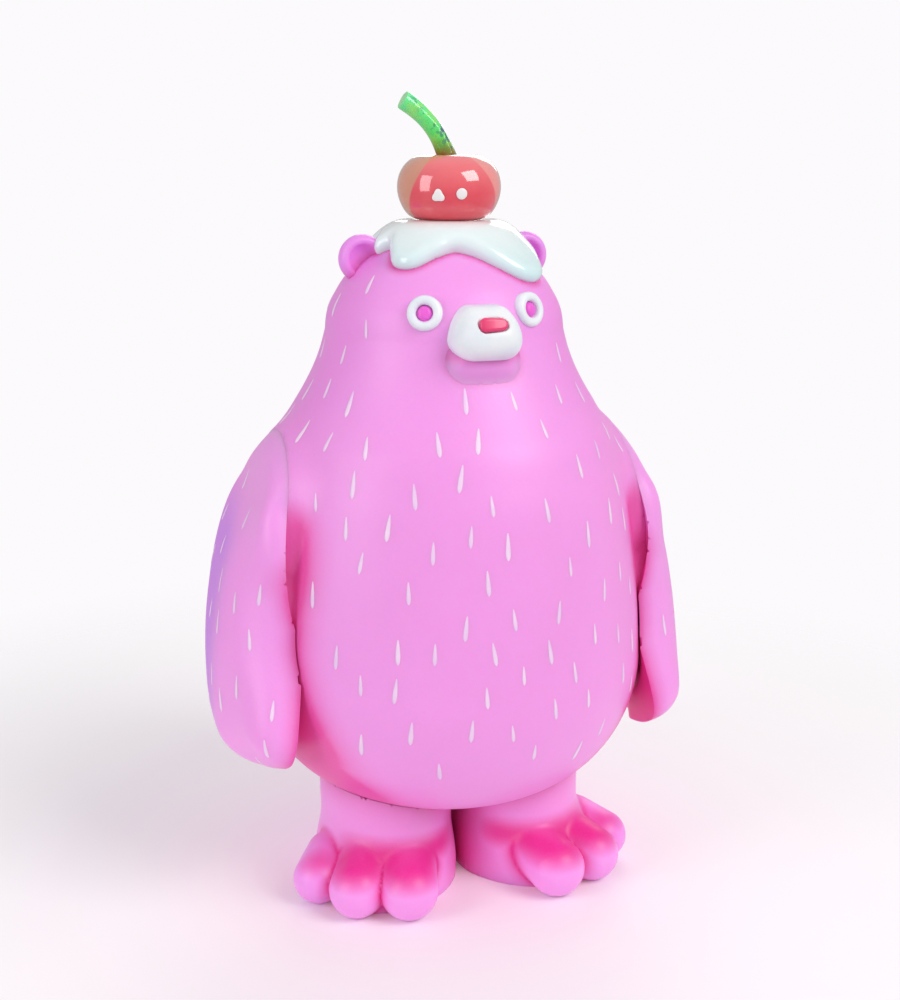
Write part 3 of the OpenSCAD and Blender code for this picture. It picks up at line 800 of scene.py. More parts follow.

# %% Two painted glints on the cherry: raised white spots that stand for highlights


def cherry_glint(name, turn, height, size, corners):
    """A thin raised white spot, a painted highlight, that follows the cherry's skin."""
    steps, around = 6, 36
    t = 2 * math.pi * np.arange(around) / around
    edge = size * (1 + (0.16 if corners else 0.0) * np.cos(3 * t + math.pi / 2))
    skin = spline(CHERRY_SIDE, 30)
    points = []
    for k in range(1, steps + 1):
        q = k / steps
        for e, a in zip(edge, t):
            z = height + q * e * math.sin(a)
            r = float(np.interp(z, skin[:, 1], skin[:, 0])) + 0.22 * math.sqrt(max(1 - q**4, 0)) - 0.03
            around_z = turn + q * e * math.cos(a) / r
            points.append((r * math.sin(around_z), -r * math.cos(around_z), z))
    r = float(np.interp(height, skin[:, 1], skin[:, 0]))
    points.append(((r + 0.19) * math.sin(turn), -(r + 0.19) * math.cos(turn), height))
    points.append(((r - 0.3) * math.sin(turn), -(r - 0.3) * math.cos(turn), height))
    top, under = len(points) - 2, len(points) - 1
    faces = [[top, i, (i + 1) % around] for i in range(around)]
    for k in range(steps - 1):
        a, b = k * around, (k + 1) * around
        faces += [[a + i, b + i, b + (i + 1) % around, a + (i + 1) % around] for i in range(around)]
    rim = (steps - 1) * around
    faces += [[under, rim + (i + 1) % around, rim + i] for i in range(around)]
    return mesh_piece(name, np.array(points) + cherry_at, faces)


glints = {
    -1: cherry_glint("right_cherry_glint", math.radians(-30), CHERRY_H * 0.40, 1.45, True),
    1: cherry_glint("left_cherry_glint", math.radians(-4), CHERRY_H * 0.43, 1.35, False),
}

# %% [markdown]
# ## Where the painted shade goes
#
# Shade is painted into the vinyl's colour through two masks: hot pink painted shade into every
# fold, and lavender over the outer sides and the back, partly lavender paint and partly painted
# shade. The folds are known already, because each one is a place where two fields come close. So
# every skin vertex is given two numbers, the depth of the painted shade in its fold and the
# strength of its lavender and side shade, and the material reads them by name.


# %% Painted fold shade and lavender side shade for every skin
def fade(distance, reach):
    """1 at a surface, fading with distance from it."""
    return np.exp(-np.maximum(distance, 0) / reach)


def turns_on_head(p):
    """Degrees round from the front, and radians down from the crown."""
    return (np.degrees(np.arctan2(p[:, 0], -p[:, 1])),
            np.arctan2(np.hypot(p[:, 0], p[:, 1]) / head_r, (p[:, 2] - head_z) / crown_h))


def paint_shade_masks(piece, fold_shade, lavender_and_shade):
    """Both painted shade masks of one pink skin."""
    paint_mask(piece, "fold_shade", fold_shade)
    paint_mask(piece, "lavender_and_shade", lavender_and_shade)


p = points_of(body_skin)
around, from_crown = turns_on_head(p)
# Hot pink painted shade in the creases by the flippers and the legs, and round the jaw.
fold_shade = np.zeros(len(p))
for side in SIDES:
    hang = ramp(112, 100, p[:, 2])
    fold_shade = np.maximum(fold_shade, 0.72 * fade(arm_distance(p, side) - 0.3, 3.0) * hang)
    fold_shade = np.maximum(fold_shade, 0.9 * fade(leg_form(p, side) - 0.3, 3.6) * ramp(60, 45, p[:, 2]))
fold_shade = np.maximum(fold_shade, 0.2 * fade(jaw_block(p) - 1.6, 1.6) * (p[:, 1] < 0))
# Hot pink painted shade under the icing's rim.
arc = np.interp(from_crown, turn_grid, arc_grid)
rim = look_up(icing_table, arc * np.sin(np.radians(around)), arc * np.cos(np.radians(around)))
fold_shade = np.maximum(fold_shade, 0.75 * fade(rim - 0.4, 0.8) * (p[:, 2] > head_z))
# The head's sides and the back get painted shade: a little hot pink on the sides, and lavender over the
# sides and round the back.
shaded_sides = np.maximum(ramp(8, 65, around), ramp(30, 90, -around))
fold_shade = np.maximum(fold_shade, 0.15 * shaded_sides)
lavender_and_shade = 0.32 * shaded_sides * ramp(104, 132, p[:, 2])
lavender_and_shade = np.maximum(lavender_and_shade, 0.35 * ramp(60, 110, np.abs(around)))
paint_shade_masks(body_skin, fold_shade, lavender_and_shade)

for side, piece in flippers.items():
    down, front, out = shoulders[side].local(points_of(piece))
    lift = out - look_up(floor_table, down, front)
    # Hot pink painted shade along the inner rim, where the flipper lies close to the body.
    fold_shade = 0.8 * fade(lift - 0.2, 1.8) * ramp(-2, 12, down) * ramp(-6, 4, front)
    fold_shade = np.maximum(fold_shade, 0.8 * fade(lift - 0.2, 1.5) * ramp(20, 40, down))
    # Lavender over the flipper's outer back side, partly lavender paint and partly painted shade.
    lavender_and_shade = ramp(3, 10.5, out + 0.25 * np.maximum(-front, 0)) * ramp(16, -4, front) * ramp(-18, 6, down)
    paint_shade_masks(piece, fold_shade, lavender_and_shade * 0.95)

for side, piece in legs.items():
    p = points_of(piece)
    base, toes = foot_parts(p, side)
    near = np.sort(np.stack([base] + toes), axis=0)
    # Hot pink painted shade between the toes, where the leg meets the belly, and on the inner sides.
    fold_shade = 0.95 * fade(near[1] - near[0] - 0.2, 1.5) * ramp(17, 12, p[:, 2])
    fold_shade = np.maximum(fold_shade, 0.4 * fade(turned_body(p) - 0.4, 3.2))
    fold_shade = np.maximum(fold_shade, 0.8 * fade(np.abs(p[:, 0]) - 0.6, 4.0))
    # Hot pink painted shade over the toe tops, where the belly's shadow falls.
    crown = ramp(7.5, 13.5, p[:, 2]) * ramp(20, 14, p[:, 2]) * ramp(12, 24, -p[:, 1])
    fold_shade = np.maximum(fold_shade, 0.9 * crown)
    # Lavender over the legs' outer sides, partly lavender paint and partly painted shade.
    paint_shade_masks(piece, fold_shade, 0.25 * ramp(30, 45, np.abs(p[:, 0])))

# Painted shade where the ears meet the head, and on the top of the jaw under the overhanging muzzle. The
# ears are lavender all over.
for piece in ears.values():
    paint_shade_masks(piece, 0.6 * fade(turned_body(points_of(piece)), 1.6), 0.45)
paint_shade_masks(jaw, 0.45 * fade(141.2 - points_of(jaw)[:, 2], 1.2), 0.0)
print("paint masks on", 2 + len(flippers) + len(legs) + len(ears), "skins")

# %% [markdown]
# ## Finishes
#
# Three effects turn up on more than one finish, so each is a node group. `grain` is the faint
# orange peel that every cast surface has. `painted_shade_layers` lays painted shade over a base by two
# masks:
# hot pink painted shade in the folds, and lavender, partly paint and partly painted shade, on the
# sides, with a little noise in their edges. `reflection_specks` scatters small dark specks, painted
# reflections on the stem. The groups give out only colours, masks and heights, and each material
# keeps its own shader.

# %% Building shader groups
def srgb(*colour):
    """A colour in 0 to 255, as the shader wants it."""
    return tuple(
        c / 255 / 12.92 if c <= 10 else ((c / 255 + 0.055) / 1.055) ** 2.4 for c in colour) + (1.0,)


class Nodes:
    """Short ways to add nodes to a tree."""

    def __init__(self, tree):
        self.tree = tree
        tree.nodes.clear()

    def add(self, kind, values=None, **settings):
        node = self.tree.nodes.new(kind)
        for key, value in settings.items():
            setattr(node, key, value)
        for key, value in (values or {}).items():
            if isinstance(value, bpy.types.NodeSocket):
                self.link(value, node.inputs[key])
            else:
                node.inputs[key].default_value = value
        return node

    def link(self, value, socket):
        self.tree.links.new(value, socket)

    def place(self):
        return self.add("ShaderNodeTexCoord").outputs["Object"]

    def xyz(self, vector):
        return self.add("ShaderNodeSeparateXYZ", {"Vector": vector}).outputs

    def math(self, operation, a, b=0.0, clamp=False):
        return self.add("ShaderNodeMath", {0: a, 1: b}, operation=operation, use_clamp=clamp).outputs[0]

    def plus(self, a, b, clamp=False):
        return self.math("ADD", a, b, clamp)

    def minus(self, a, b):
        return self.math("SUBTRACT", a, b)

    def times(self, a, b, clamp=False):
        return self.math("MULTIPLY", a, b, clamp)

    def mix(self, factor, a, b):
        return self.add("ShaderNodeMix", {0: factor, 6: a, 7: b}, data_type="RGBA").outputs[2]

    def noise(self, scale, detail, place):
        values = {"Scale": scale, "Detail": detail, "Vector": place}
        return self.add("ShaderNodeTexNoise", values).outputs["Fac"]

    def span(self, value, a, b):
        return self.add("ShaderNodeMapRange", {0: value, 1: a, 2: b}).outputs[0]

    def group(self, name, values):
        return self.add("ShaderNodeGroup", values, node_tree=bpy.data.node_groups[name])


def shader_group(name, inputs, outputs):
    """An empty group: its nodes helper, what it is given and what it makes."""
    tree = bpy.data.node_groups.new(name, "ShaderNodeTree")
    for key, kind, value in inputs:
        socket = tree.interface.new_socket(name=key, in_out="INPUT", socket_type="NodeSocket" + kind)
        socket.default_value = value
    for key, kind in outputs:
        tree.interface.new_socket(name=key, in_out="OUTPUT", socket_type="NodeSocket" + kind)
    n = Nodes(tree)
    return n, n.add("NodeGroupInput").outputs, n.add("NodeGroupOutput").inputs


# %% The grain group, the painted shade group and the group of painted reflection specks
n, given, made = shader_group(
    "grain", [("Scale", "Float", 900.0), ("Roughness", "Float", 0.4), ("Uneven", "Float", 0.08)],
    [("Height", "Float"), ("Roughness", "Float")])
place = n.place()
fine, broad = n.noise(given["Scale"], 3.0, place), n.noise(60.0, 3.0, place)
n.link(n.plus(fine, n.times(broad, 0.8)), made["Height"])
swing = n.times(n.minus(broad, 0.5), given["Uneven"])
n.link(n.plus(given["Roughness"], swing, clamp=True), made["Roughness"])

n, given, made = shader_group(
    "painted_shade_layers",
    [("Base", "Color", (1, 1, 1, 1)), ("Fold paint", "Color", (1, 0, 0, 1)), ("Fold shade", "Float", 0.0),
     ("Veil paint", "Color", (0, 0, 1, 1)), ("Lavender and shade", "Float", 0.0), ("Mottle", "Float", 0.06)],
    [("Color", "Color")])
# Over the base: lavender by the second mask, partly paint and partly painted shade, then hot pink
# painted shade by the fold mask.
place = n.place()
cloud = n.minus(n.noise(38.0, 4.0, place), 0.5)
speckle = n.minus(n.noise(1500.0, 2.0, place), 0.5)
lavender_and_shade_edge = n.plus(given["Lavender and shade"], n.times(cloud, 0.35))
lavender_and_shade_mask = n.times(n.span(lavender_and_shade_edge, 0.02, 1.05), given["Lavender and shade"], clamp=True)
coloured = n.mix(n.math("POWER", lavender_and_shade_mask, 0.6), given["Base"], given["Veil paint"])
fold_shade_edge = n.plus(given["Fold shade"], n.times(n.plus(cloud, speckle), 0.10))
fold_shade_mask = n.math("POWER", n.span(fold_shade_edge, 0.06, 0.98), 0.9)
coloured = n.mix(fold_shade_mask, coloured, given["Fold paint"])
light = n.plus(1.0, n.times(n.plus(cloud, n.times(speckle, 0.4)), given["Mottle"]))
tone = n.add("ShaderNodeHueSaturation", {"Color": coloured, "Value": light})
n.link(tone.outputs["Color"], made["Color"])

# Small dark specks, used as painted reflections on the stem.
n, given, made = shader_group(
    "reflection_specks", [("Scale", "Float", 700.0), ("Amount", "Float", 0.3)], [("Mask", "Float")])
place = n.place()
cells = n.add("ShaderNodeTexVoronoi", {"Vector": place, "Scale": given["Scale"], "Randomness": 1.0})
size = n.times(given["Amount"], n.span(n.noise(260.0, 2.0, place), 0.42, 0.62))
n.link(n.span(n.minus(size, cells.outputs["Distance"]), -0.06, 0.04), made["Mask"])
print("groups:", [g.name for g in bpy.data.node_groups])

# %% [markdown]
# ## The pink vinyl
#
# Soft vinyl lets a little light in, so its shadows glow. The shader scatters light under the skin,
# red furthest, and the surface stays satin with a thin clearer coat over it. The same finish goes
# on every pink piece, so all of them match.


# %% Materials from the groups
def new_material(name):
    """A material with an empty tree and its output."""
    material = bpy.data.materials.new(name)
    material.use_nodes = True
    n = Nodes(material.node_tree)
    n.output = n.add("ShaderNodeOutputMaterial")
    return material, n


def shade(n, colour, grain, bump, **values):
    """The surface shader. grain: scale, roughness and unevenness. bump: its depth in metres."""
    skin = n.group("grain", dict(zip(("Scale", "Roughness", "Uneven"), grain)))
    relief = n.add("ShaderNodeBump", {
        "Height": skin.outputs["Height"], "Distance": bump, "Strength": 1.0})
    shader = n.add("ShaderNodeBsdfPrincipled", {
        "Base Color": colour, "Roughness": skin.outputs["Roughness"], "Normal": relief.outputs["Normal"],
        **{key.replace("_", " "): value for key, value in values.items()}})
    n.link(shader.outputs[0], n.output.inputs["Surface"])
    return shader


pink, n = new_material("pink_vinyl_paint")
fold_shade = n.add("ShaderNodeAttribute", attribute_name="fold_shade").outputs["Fac"]
lavender_and_shade = n.add("ShaderNodeAttribute", attribute_name="lavender_and_shade").outputs["Fac"]
# The masks bring hot pink painted shade into the folds and lavender, partly painted shade, over the
# sides.
paint = n.group("painted_shade_layers", {
    "Base": srgb(253, 162, 239), "Fold paint": srgb(236, 36, 150), "Fold shade": fold_shade,
    "Veil paint": srgb(212, 134, 242), "Lavender and shade": lavender_and_shade, "Mottle": 0.08})
shade(n, paint.outputs["Color"], (1100.0, 0.42, 0.10), 0.00004, Subsurface_Weight=0.35,
      Subsurface_Scale=0.006, Subsurface_Radius=(1.0, 0.35, 0.7), Coat_Weight=0.12, Coat_Roughness=0.3,
      Specular_IOR_Level=0.45)


# %% White, icing and small paints
def plain_finish(name, base, second, rough, bump, **values):
    """A finish whose colour drifts between two near tones."""
    material, n = new_material(name)
    drift = n.span(n.noise(120.0, 3.0, n.place()), 0.35, 0.65)
    shade(n, n.mix(drift, base, second), (900.0, rough, 0.06), bump, **values)
    return material


white = plain_finish("white_vinyl_paint", srgb(246, 252, 255), srgb(232, 240, 252), 0.42, 0.00003,
                     Subsurface_Weight=0.3, Subsurface_Scale=0.003, Subsurface_Radius=(1.0, 0.7, 0.9))
fur_paint = plain_finish("fur_stroke_paint", srgb(252, 226, 251), srgb(243, 208, 247), 0.38, 0.00002)
pupil_paint = plain_finish("pupil_paint", srgb(252, 120, 232), srgb(244, 92, 214), 0.35, 0.00002,
                           Subsurface_Weight=0.2, Subsurface_Scale=0.002)
nose_paint = plain_finish("nose_paint", srgb(242, 70, 128), srgb(232, 54, 112), 0.3, 0.00002,
                          Subsurface_Weight=0.2, Subsurface_Scale=0.002, Coat_Weight=0.3,
                          Coat_Roughness=0.15)
# White for the two painted highlight glints on the cherry.
glint_paint = plain_finish("cherry_glint_paint", srgb(252, 250, 250), srgb(246, 240, 242), 0.25, 0.00001)

icing_paint, n = new_material("icing_gloss")
place = n.place()
cool = n.span(n.plus(n.xyz(place)["Z"], n.times(n.noise(140.0, 3.0, place), 0.004)), 0.172, 0.158)
shade(n, n.mix(cool, srgb(240, 254, 255), srgb(208, 246, 250)), (500.0, 0.2, 0.08), 0.00006,
      Subsurface_Weight=0.35, Subsurface_Scale=0.004, Subsurface_Radius=(0.7, 0.95, 1.0),
      Coat_Weight=0.6, Coat_Roughness=0.08)

# %% Cherry and stem
cherry_paint, n = new_material("cherry_gloss")
place = n.place()
parts = n.xyz(place)
streak = n.span(n.noise(170.0, 4.0, place), 0.3, 0.7)
red = n.mix(streak, srgb(234, 62, 84), srgb(240, 84, 98))
# Painted highlight: a pale pink band round the cherry's top, where the light from above reflects.
top = n.span(parts["Z"], 0.1785, 0.1865)
red = n.mix(n.times(top, 0.6), red, srgb(250, 150, 152))
# Painted reflections of the side softboxes: a tan wedge on the left and a pale pink one on the right.
turned = n.math("ARCTAN2", parts["X"], n.times(parts["Y"], -1.0))
slant = n.times(n.minus(parts["Z"], 0.18), 45.0)
left_painted_reflection = n.span(n.minus(turned, slant), -1.00, -1.05)
right_painted_reflection = n.span(n.plus(turned, slant), 0.74, 0.79)
red = n.mix(n.times(left_painted_reflection, 0.8), red, srgb(214, 160, 128))
red = n.mix(n.times(right_painted_reflection, 0.6), red, srgb(248, 170, 160))
shade(n, red, (420.0, 0.12, 0.06), 0.00003, Subsurface_Weight=0.15, Subsurface_Scale=0.003,
      Subsurface_Radius=(1.0, 0.2, 0.2), Coat_Weight=1.0, Coat_Roughness=0.04, Coat_IOR=1.6)

stem_paint, n = new_material("stem_gloss")
place = n.place()
parts = n.xyz(place)
height = n.plus(parts["Z"], n.times(n.noise(500.0, 3.0, place), 0.003))
green = n.mix(n.span(height, 0.190, 0.2035), srgb(84, 220, 70), srgb(110, 248, 160))
streak = n.span(n.noise(420.0, 4.0, place), 0.45, 0.62)
green = n.mix(n.times(streak, 0.45), green, srgb(176, 236, 84))
# Painted reflection of the red cherry: the stem turns brown at its foot.
green = n.mix(n.span(height, 0.1932, 0.1888), green, srgb(138, 74, 22))
# Dark specks near the cut end: painted reflections on the glossy stem.
cut_end = n.span(n.plus(parts["X"], n.times(parts["Z"], 0.75)), 0.1405, 0.1445)
reflection_specks = n.group("reflection_specks", {"Scale": 950.0, "Amount": 0.62})
green = n.mix(n.times(reflection_specks.outputs["Mask"], cut_end), green, srgb(44, 92, 116))
shade(n, green, (700.0, 0.16, 0.1), 0.00012, Subsurface_Weight=0.3, Subsurface_Scale=0.002,
      Subsurface_Radius=(0.5, 1.0, 0.4), Coat_Weight=0.8, Coat_Roughness=0.06)
print("finishes:", sorted(m.name for m in bpy.data.materials if m.users == 0))

# %% [markdown]
# ## Fur strokes
#
# Short pale strokes stand for fur. There are some 220, all alike, so they are instanced by
# Geometry Nodes: points are scattered on a skin at a least distance from each other, one tapered
# stroke is laid on each with its thick end down, and every stroke is pressed on to the skin so
# that it follows the curve. A mask keeps them off the face, the icing, the feet and the folds.


# %% The stroke tree
STROKE_RINGS, STROKE_SIDES, FUR_SPACING = 12, 8, 0.0086


def fur_tree():
    """Skin in, strokes out."""
    tree = bpy.data.node_groups.new("fur_strokes", "GeometryNodeTree")
    new = tree.interface.new_socket
    new(name="Skin", in_out="INPUT", socket_type="NodeSocketGeometry")
    sizes = {"Spacing": FUR_SPACING, "Length": 0.0057, "Width": 0.00145, "Thickness": 0.0003}
    for key, value in sizes.items():
        new(name=key, in_out="INPUT", socket_type="NodeSocketFloat").default_value = value
    new(name="Seed", in_out="INPUT", socket_type="NodeSocketInt").default_value = 4
    new(name="Paint", in_out="INPUT", socket_type="NodeSocketMaterial")
    new(name="Strokes", in_out="OUTPUT", socket_type="NodeSocketGeometry")
    n = Nodes(tree)
    given = n.add("NodeGroupInput").outputs

    half = n.times(given["Length"], 0.5)
    start = n.add("ShaderNodeCombineXYZ", {"Y": n.times(half, -1.0)}).outputs[0]
    end = n.add("ShaderNodeCombineXYZ", {"Y": half}).outputs[0]
    line = n.add("GeometryNodeCurvePrimitiveLine", {"Start": start, "End": end}).outputs[0]
    line = n.add("GeometryNodeResampleCurve", {"Curve": line, "Count": STROKE_RINGS}).outputs[0]
    along = n.add("GeometryNodeSplineParameter").outputs["Factor"]
    taper = n.math("POWER", n.plus(along, 0.02), 0.55)
    blunt = n.math("SQRT", n.minus(1.02, n.math("POWER", along, 5.0)))
    radius = n.times(n.times(taper, blunt), n.times(given["Width"], 0.5))
    ring = n.add("GeometryNodeCurvePrimitiveCircle", {
        "Resolution": STROKE_SIDES, "Radius": 1.0}).outputs[0]
    tube = n.add("GeometryNodeCurveToMesh", {
        "Curve": line, "Profile Curve": ring, "Scale": radius, "Fill Caps": True}).outputs[0]
    flat = n.add("ShaderNodeCombineXYZ", {
        "X": 1.0, "Y": 1.0, "Z": n.math("DIVIDE", given["Thickness"], given["Width"])}).outputs[0]
    tube = n.add("GeometryNodeTransform", {"Geometry": tube, "Scale": flat}).outputs[0]
    lift = n.xyz(n.add("GeometryNodeInputPosition").outputs[0])["Z"]
    tube = n.add("GeometryNodeStoreNamedAttribute", {"Geometry": tube, "Name": "lift", "Value": lift},
                 data_type="FLOAT", domain="POINT").outputs[0]

    where = n.add("GeometryNodeInputNamedAttribute", {"Name": "fur"}, data_type="FLOAT").outputs[0]
    spots = n.add("GeometryNodeDistributePointsOnFaces", {
        "Mesh": given["Skin"], "Distance Min": given["Spacing"], "Density Max": 40000.0,
        "Density Factor": where, "Seed": given["Seed"]}, distribute_method="POISSON")
    down = n.add("FunctionNodeAlignRotationToVector", {
        "Rotation": spots.outputs["Rotation"], "Vector": (0.0, 0.0, -1.0)},
        axis="Y", pivot_axis="Z").outputs[0]
    sway = n.add(
        "FunctionNodeRandomValue", {2: -0.16, 3: 0.16, "Seed": 7}, data_type="FLOAT").outputs[1]
    spin_by = n.add(
        "FunctionNodeAxisAngleToRotation", {"Axis": (0.0, 0.0, 1.0), "Angle": sway}).outputs[0]
    down = n.add("FunctionNodeRotateRotation", {"Rotation": down, "Rotate By": spin_by},
                 rotation_space="LOCAL").outputs[0]
    size = n.add(
        "FunctionNodeRandomValue", {2: 0.8, 3: 1.18, "Seed": 11}, data_type="FLOAT").outputs[1]
    strokes = n.add("GeometryNodeInstanceOnPoints", {
        "Points": spots.outputs["Points"], "Instance": tube, "Rotation": down, "Scale": size}).outputs[0]
    strokes = n.add("GeometryNodeRealizeInstances", {"Geometry": strokes}).outputs[0]

    nearest = n.add("GeometryNodeProximity", target_element="FACES")
    n.link(given["Skin"], nearest.inputs[0])
    normal = n.add(
        "GeometryNodeSampleNearestSurface", {"Mesh": given["Skin"]}, data_type="FLOAT_VECTOR")
    n.link(n.add("GeometryNodeInputNormal").outputs[0], normal.inputs["Value"])
    height = n.add("GeometryNodeInputNamedAttribute", {"Name": "lift"}, data_type="FLOAT").outputs[0]
    push = n.add("ShaderNodeVectorMath", {0: normal.outputs[0]}, operation="SCALE")
    n.link(height, push.inputs["Scale"])
    onto = n.add("ShaderNodeVectorMath", {
        0: nearest.outputs["Position"], 1: push.outputs[0]}, operation="ADD").outputs[0]
    for kind, values in (("GeometryNodeSetPosition", {"Position": onto}),
                         ("GeometryNodeSetShadeSmooth", {}),
                         ("GeometryNodeSetMaterial", {"Material": given["Paint"]})):
        strokes = n.add(kind, {"Geometry": strokes, **values}).outputs[0]
    n.add("NodeGroupOutput", {0: strokes})
    return tree


strokes_tree = fur_tree()
sockets = {s.name: s.identifier for s in strokes_tree.interface.items_tree if s.in_out == "INPUT"}


def grow_fur(name, skins, seed):
    """Strokes over several skins, as one plain mesh. skins: (piece, mask) pairs."""
    points, faces, mask, start = [], [], [], 0
    for piece, values in skins:
        co = points_of(piece)
        points.append(co)
        faces += [[v + start for v in f.vertices] for f in piece.data.polygons]
        mask.append(values)
        start += len(co)
    host = mesh_piece(name, np.concatenate(points), faces)
    paint_mask(host, "fur", np.concatenate(mask))
    modifier = host.modifiers.new("strokes", "NODES")
    modifier.node_group = strokes_tree
    for key, value in (("Spacing", FUR_SPACING), ("Seed", seed), ("Paint", fur_paint)):
        modifier[sockets[key]] = value
    evaluated = host.evaluated_get(bpy.context.evaluated_depsgraph_get())
    grown = bpy.data.meshes.new_from_object(evaluated)
    host.modifiers.remove(modifier)
    bare = host.data
    host.data = grown
    bpy.data.meshes.remove(bare)
    each = (STROKE_RINGS - 1) * STROKE_SIDES + 2
    print(name, "has", len(grown.polygons) // each, "strokes,", len(grown.polygons), "faces")
    return host


# %% Where fur may grow
p = points_of(body_skin)
around, from_crown = turns_on_head(p)
bare_face = (np.abs(around) < 44) & (p[:, 2] > 131) & ~((np.abs(around) < 26) & (p[:, 2] < 132.6))
allowed = (p[:, 2] > 42) & ~bare_face & (np.degrees(from_crown) > curve(DRIPS, around) + 11)
for side, word in SIDES.items():
    allowed &= arm_distance(p, side) > 3.0
    allowed &= (leg_form(p, side) > 4.0) | (p[:, 2] > 50)
    ear_low, ear_high = node_box(word + "_ear")
    allowed &= np.sqrt(((p - (ear_low + ear_high) / 2) ** 2).sum(1)) > 11.5
torso_fur = [(body_skin, allowed)]
for side, piece in legs.items():
    p = points_of(piece)
    toes = foot_parts(p, side)[1]
    allowed = (p[:, 2] > 17) & (turned_body(p) > 4.2) & (np.abs(p[:, 0]) > 6)
    allowed &= np.min(toes, axis=0) > 3.5
    torso_fur.append((piece, allowed))
fur = {"torso": grow_fur("torso_fur", torso_fur, 5)}
for side, piece in flippers.items():
    down, front, out = shoulders[side].local(points_of(piece))
    allowed = out - look_up(floor_table, down, front) > 4.2
    allowed &= (np.hypot(down, front) < 18.6) | (down > 8)
    name = SIDES[side] + "_flipper"
    fur[name] = grow_fur(name + "_fur", [(piece, allowed)], 9 + side)

# %% [markdown]
# ## Finish, body and CAD part for each piece
#
# A piece needs three things: its finish, the body it moves with, and the CAD parts it stands for.
# One list keeps them together, so that nothing is forgotten when a piece is added.

# %% Dressing the pieces
DRESS = [
    (body_skin, pink, "torso", ["body_shell"], "pink_vinyl"),
    (jaw, pink, "torso", ["lower_jaw"], "pink_vinyl"),
    (muzzle, white, "torso", ["muzzle_pad"], "white_vinyl"),
    (nose, nose_paint, "torso", ["nose"], "nose_vinyl"),
    (icing, icing_paint, "torso", ["icing_cap"], "icing_vinyl"),
    (cherry, cherry_paint, "cherry_top", ["cherry"], "cherry_vinyl"),
    (stem, stem_paint, "cherry_top", ["cherry_stem"], "stem_vinyl"),
    (fur["torso"], None, "torso", [], "white_vinyl"),
]
for side, word in SIDES.items():
    DRESS += [
        (flippers[side], pink, word + "_flipper", [word + "_arm"], "pink_vinyl"),
        (fur[word + "_flipper"], None, word + "_flipper", [], "white_vinyl"),
        (legs[side], pink, "torso", [word + "_leg"], "pink_vinyl"),
        (ears[side], pink, "torso", [word + "_ear"], "pink_vinyl"),
        (eyes[side], white, "torso", [word + "_eye_ring"], "white_vinyl"),
        (pupils[side], pupil_paint, "torso", [word + "_pupil"], "pupil_vinyl"),
        (glints[side], glint_paint, "cherry_top", [word + "_cherry_dot"], "white_vinyl"),
    ]
for piece, finish, body, nodes, slot_name in DRESS:
    if finish is not None:
        piece.data.materials.clear()
        piece.data.materials.append(finish)
    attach(piece, body)
    if nodes:
        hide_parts(*nodes)
print(len(DRESS), "pieces dressed")

# %% [markdown]
# ## Floor, light and camera
#
# The backdrop is that of a product table: a white card that fades away a little way from the toy,
# under a sky that the camera sees as white too, so that no horizon shows. Three softboxes do the
# rest: a large one high at the right gives the belly its broad highlight, a long one on the left
# draws the second reflection on the cherry, and a weak one behind lifts the rim.

# %% Floor
FLOOR_R = 6.0
rings = [(FLOOR_R * q / MM, 0.0) for q in (0.02, 0.05, 0.12, 0.3, 0.6, 1.0)]
floor = mesh_piece("floor", *spin([(0, 0)] + rings, 96))
floor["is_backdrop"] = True
floor_paint, n = new_material("floor_card")
place = n.place()
tint = n.mix(n.span(n.noise(6.0, 2.0, place), 0.4, 0.6), srgb(250, 248, 249), srgb(247, 245, 247))
card = shade(n, tint, (300.0, 0.6, 0.05), 0.00002, Specular_IOR_Level=0.3,
             Emission_Color=(1, 0.985, 0.995, 1), Emission_Strength=0.06)
far = n.add("ShaderNodeVectorMath", {0: place}, operation="LENGTH").outputs["Value"]
faded = n.add("ShaderNodeMixShader", {
    0: n.span(far, 0.10, 0.28), 1: card.outputs[0], 2: n.add("ShaderNodeBsdfTransparent").outputs[0]})
n.link(faded.outputs[0], n.output.inputs["Surface"])
floor.data.materials.append(floor_paint)

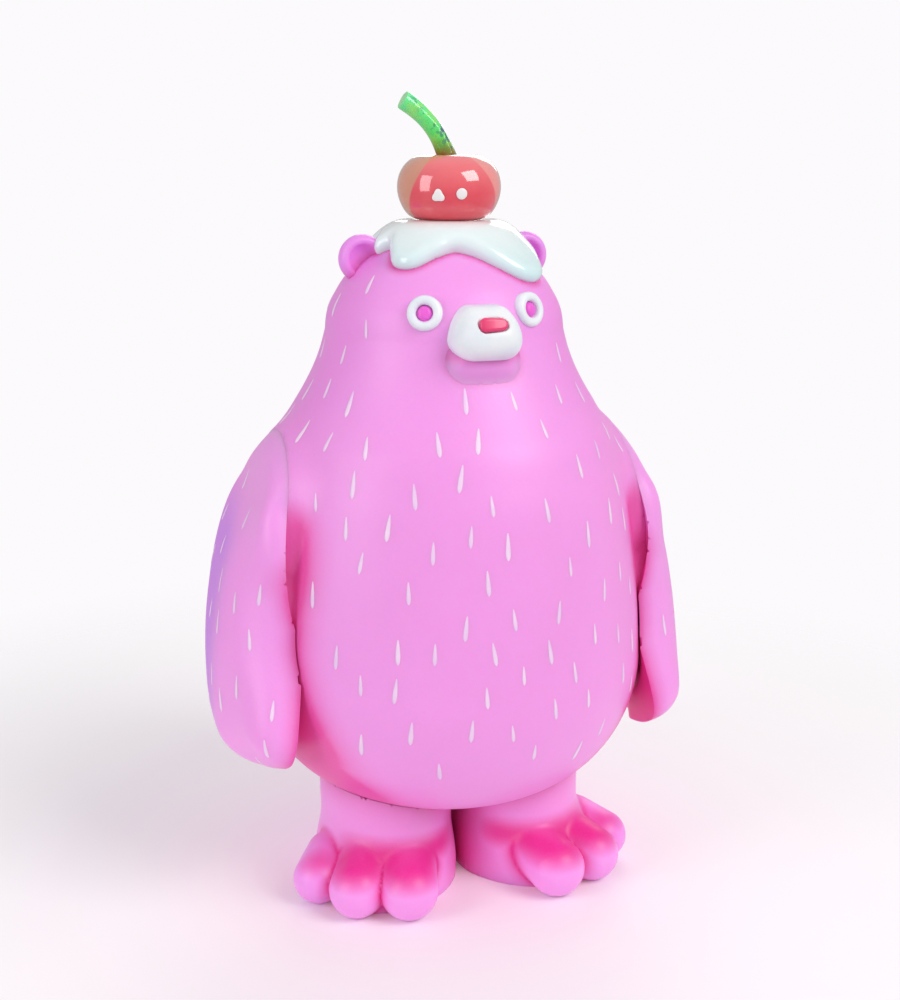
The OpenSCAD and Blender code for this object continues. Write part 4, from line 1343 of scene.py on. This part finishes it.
# %% Sky and softboxes
world = bpy.data.worlds.new("studio")
bpy.context.scene.world = world
world.use_nodes = True
n = Nodes(world.node_tree)
seen = n.add("ShaderNodeBackground", {"Color": srgb(252, 250, 252), "Strength": 1.0}).outputs[0]
lit = n.add("ShaderNodeBackground", {"Color": (1.0, 0.98, 0.99, 1), "Strength": 0.5}).outputs[0]
ray = n.add("ShaderNodeLightPath").outputs["Is Camera Ray"]
which = n.add("ShaderNodeMixShader", {0: ray, 1: lit, 2: seen})
n.add("ShaderNodeOutputWorld", {"Surface": which.outputs[0]})


def softbox(name, at, aim, size, power, colour=(1, 1, 1)):
    """A rectangular studio light; at and aim are in metres, power in watts."""
    lamp = bpy.data.lights.new(name, "AREA")
    lamp.shape, lamp.size, lamp.size_y = "RECTANGLE", size[0], size[1]
    lamp.energy, lamp.color = power, colour
    holder = bpy.data.objects.new(name, lamp)
    bpy.context.scene.collection.objects.link(holder)
    holder.location = at
    holder.rotation_mode = "QUATERNION"
    holder.rotation_quaternion = (Vector(aim) - Vector(at)).to_track_quat("-Z", "Y")


middle = Vector((0, 0, 0.09))
softbox("key", (0.42, -0.55, 0.62), middle, (0.45, 0.45), 3.7, (1, 0.985, 0.97))
softbox("side", (-0.75, -0.25, 0.35), middle, (0.35, 0.6), 2.2, (0.97, 0.97, 1))
softbox("rim", (0.35, 0.7, 0.5), middle, (0.5, 0.4), 1.6)

# %% Camera
camera_data = bpy.data.cameras.new("camera")
camera = bpy.data.objects.new("camera", camera_data)
bpy.context.scene.collection.objects.link(camera)
bpy.context.scene.camera = camera
AZIMUTH, DISTANCE, EYE_HEIGHT, PITCH = math.radians(-18.0), 0.3738, 0.1907, math.radians(13.73)
camera.location = (math.sin(AZIMUTH) * DISTANCE, -math.cos(AZIMUTH) * DISTANCE, EYE_HEIGHT)
camera.rotation_euler = (math.pi / 2 - PITCH, 0, AZIMUTH)
camera_data.lens, camera_data.sensor_width, camera_data.sensor_fit = 52.78, 36.0, "AUTO"
camera_data.shift_x = 0.006
camera_data.clip_start, camera_data.clip_end = 0.01, 20
bpy.context.scene.view_settings.view_transform = "Standard"
print("camera at", [round(c, 4) for c in camera.location])

# %% Sizes of the visual pieces
import json

low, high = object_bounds()
print("visual box", [round(c * 1000, 1) for c in (*low, *high)])
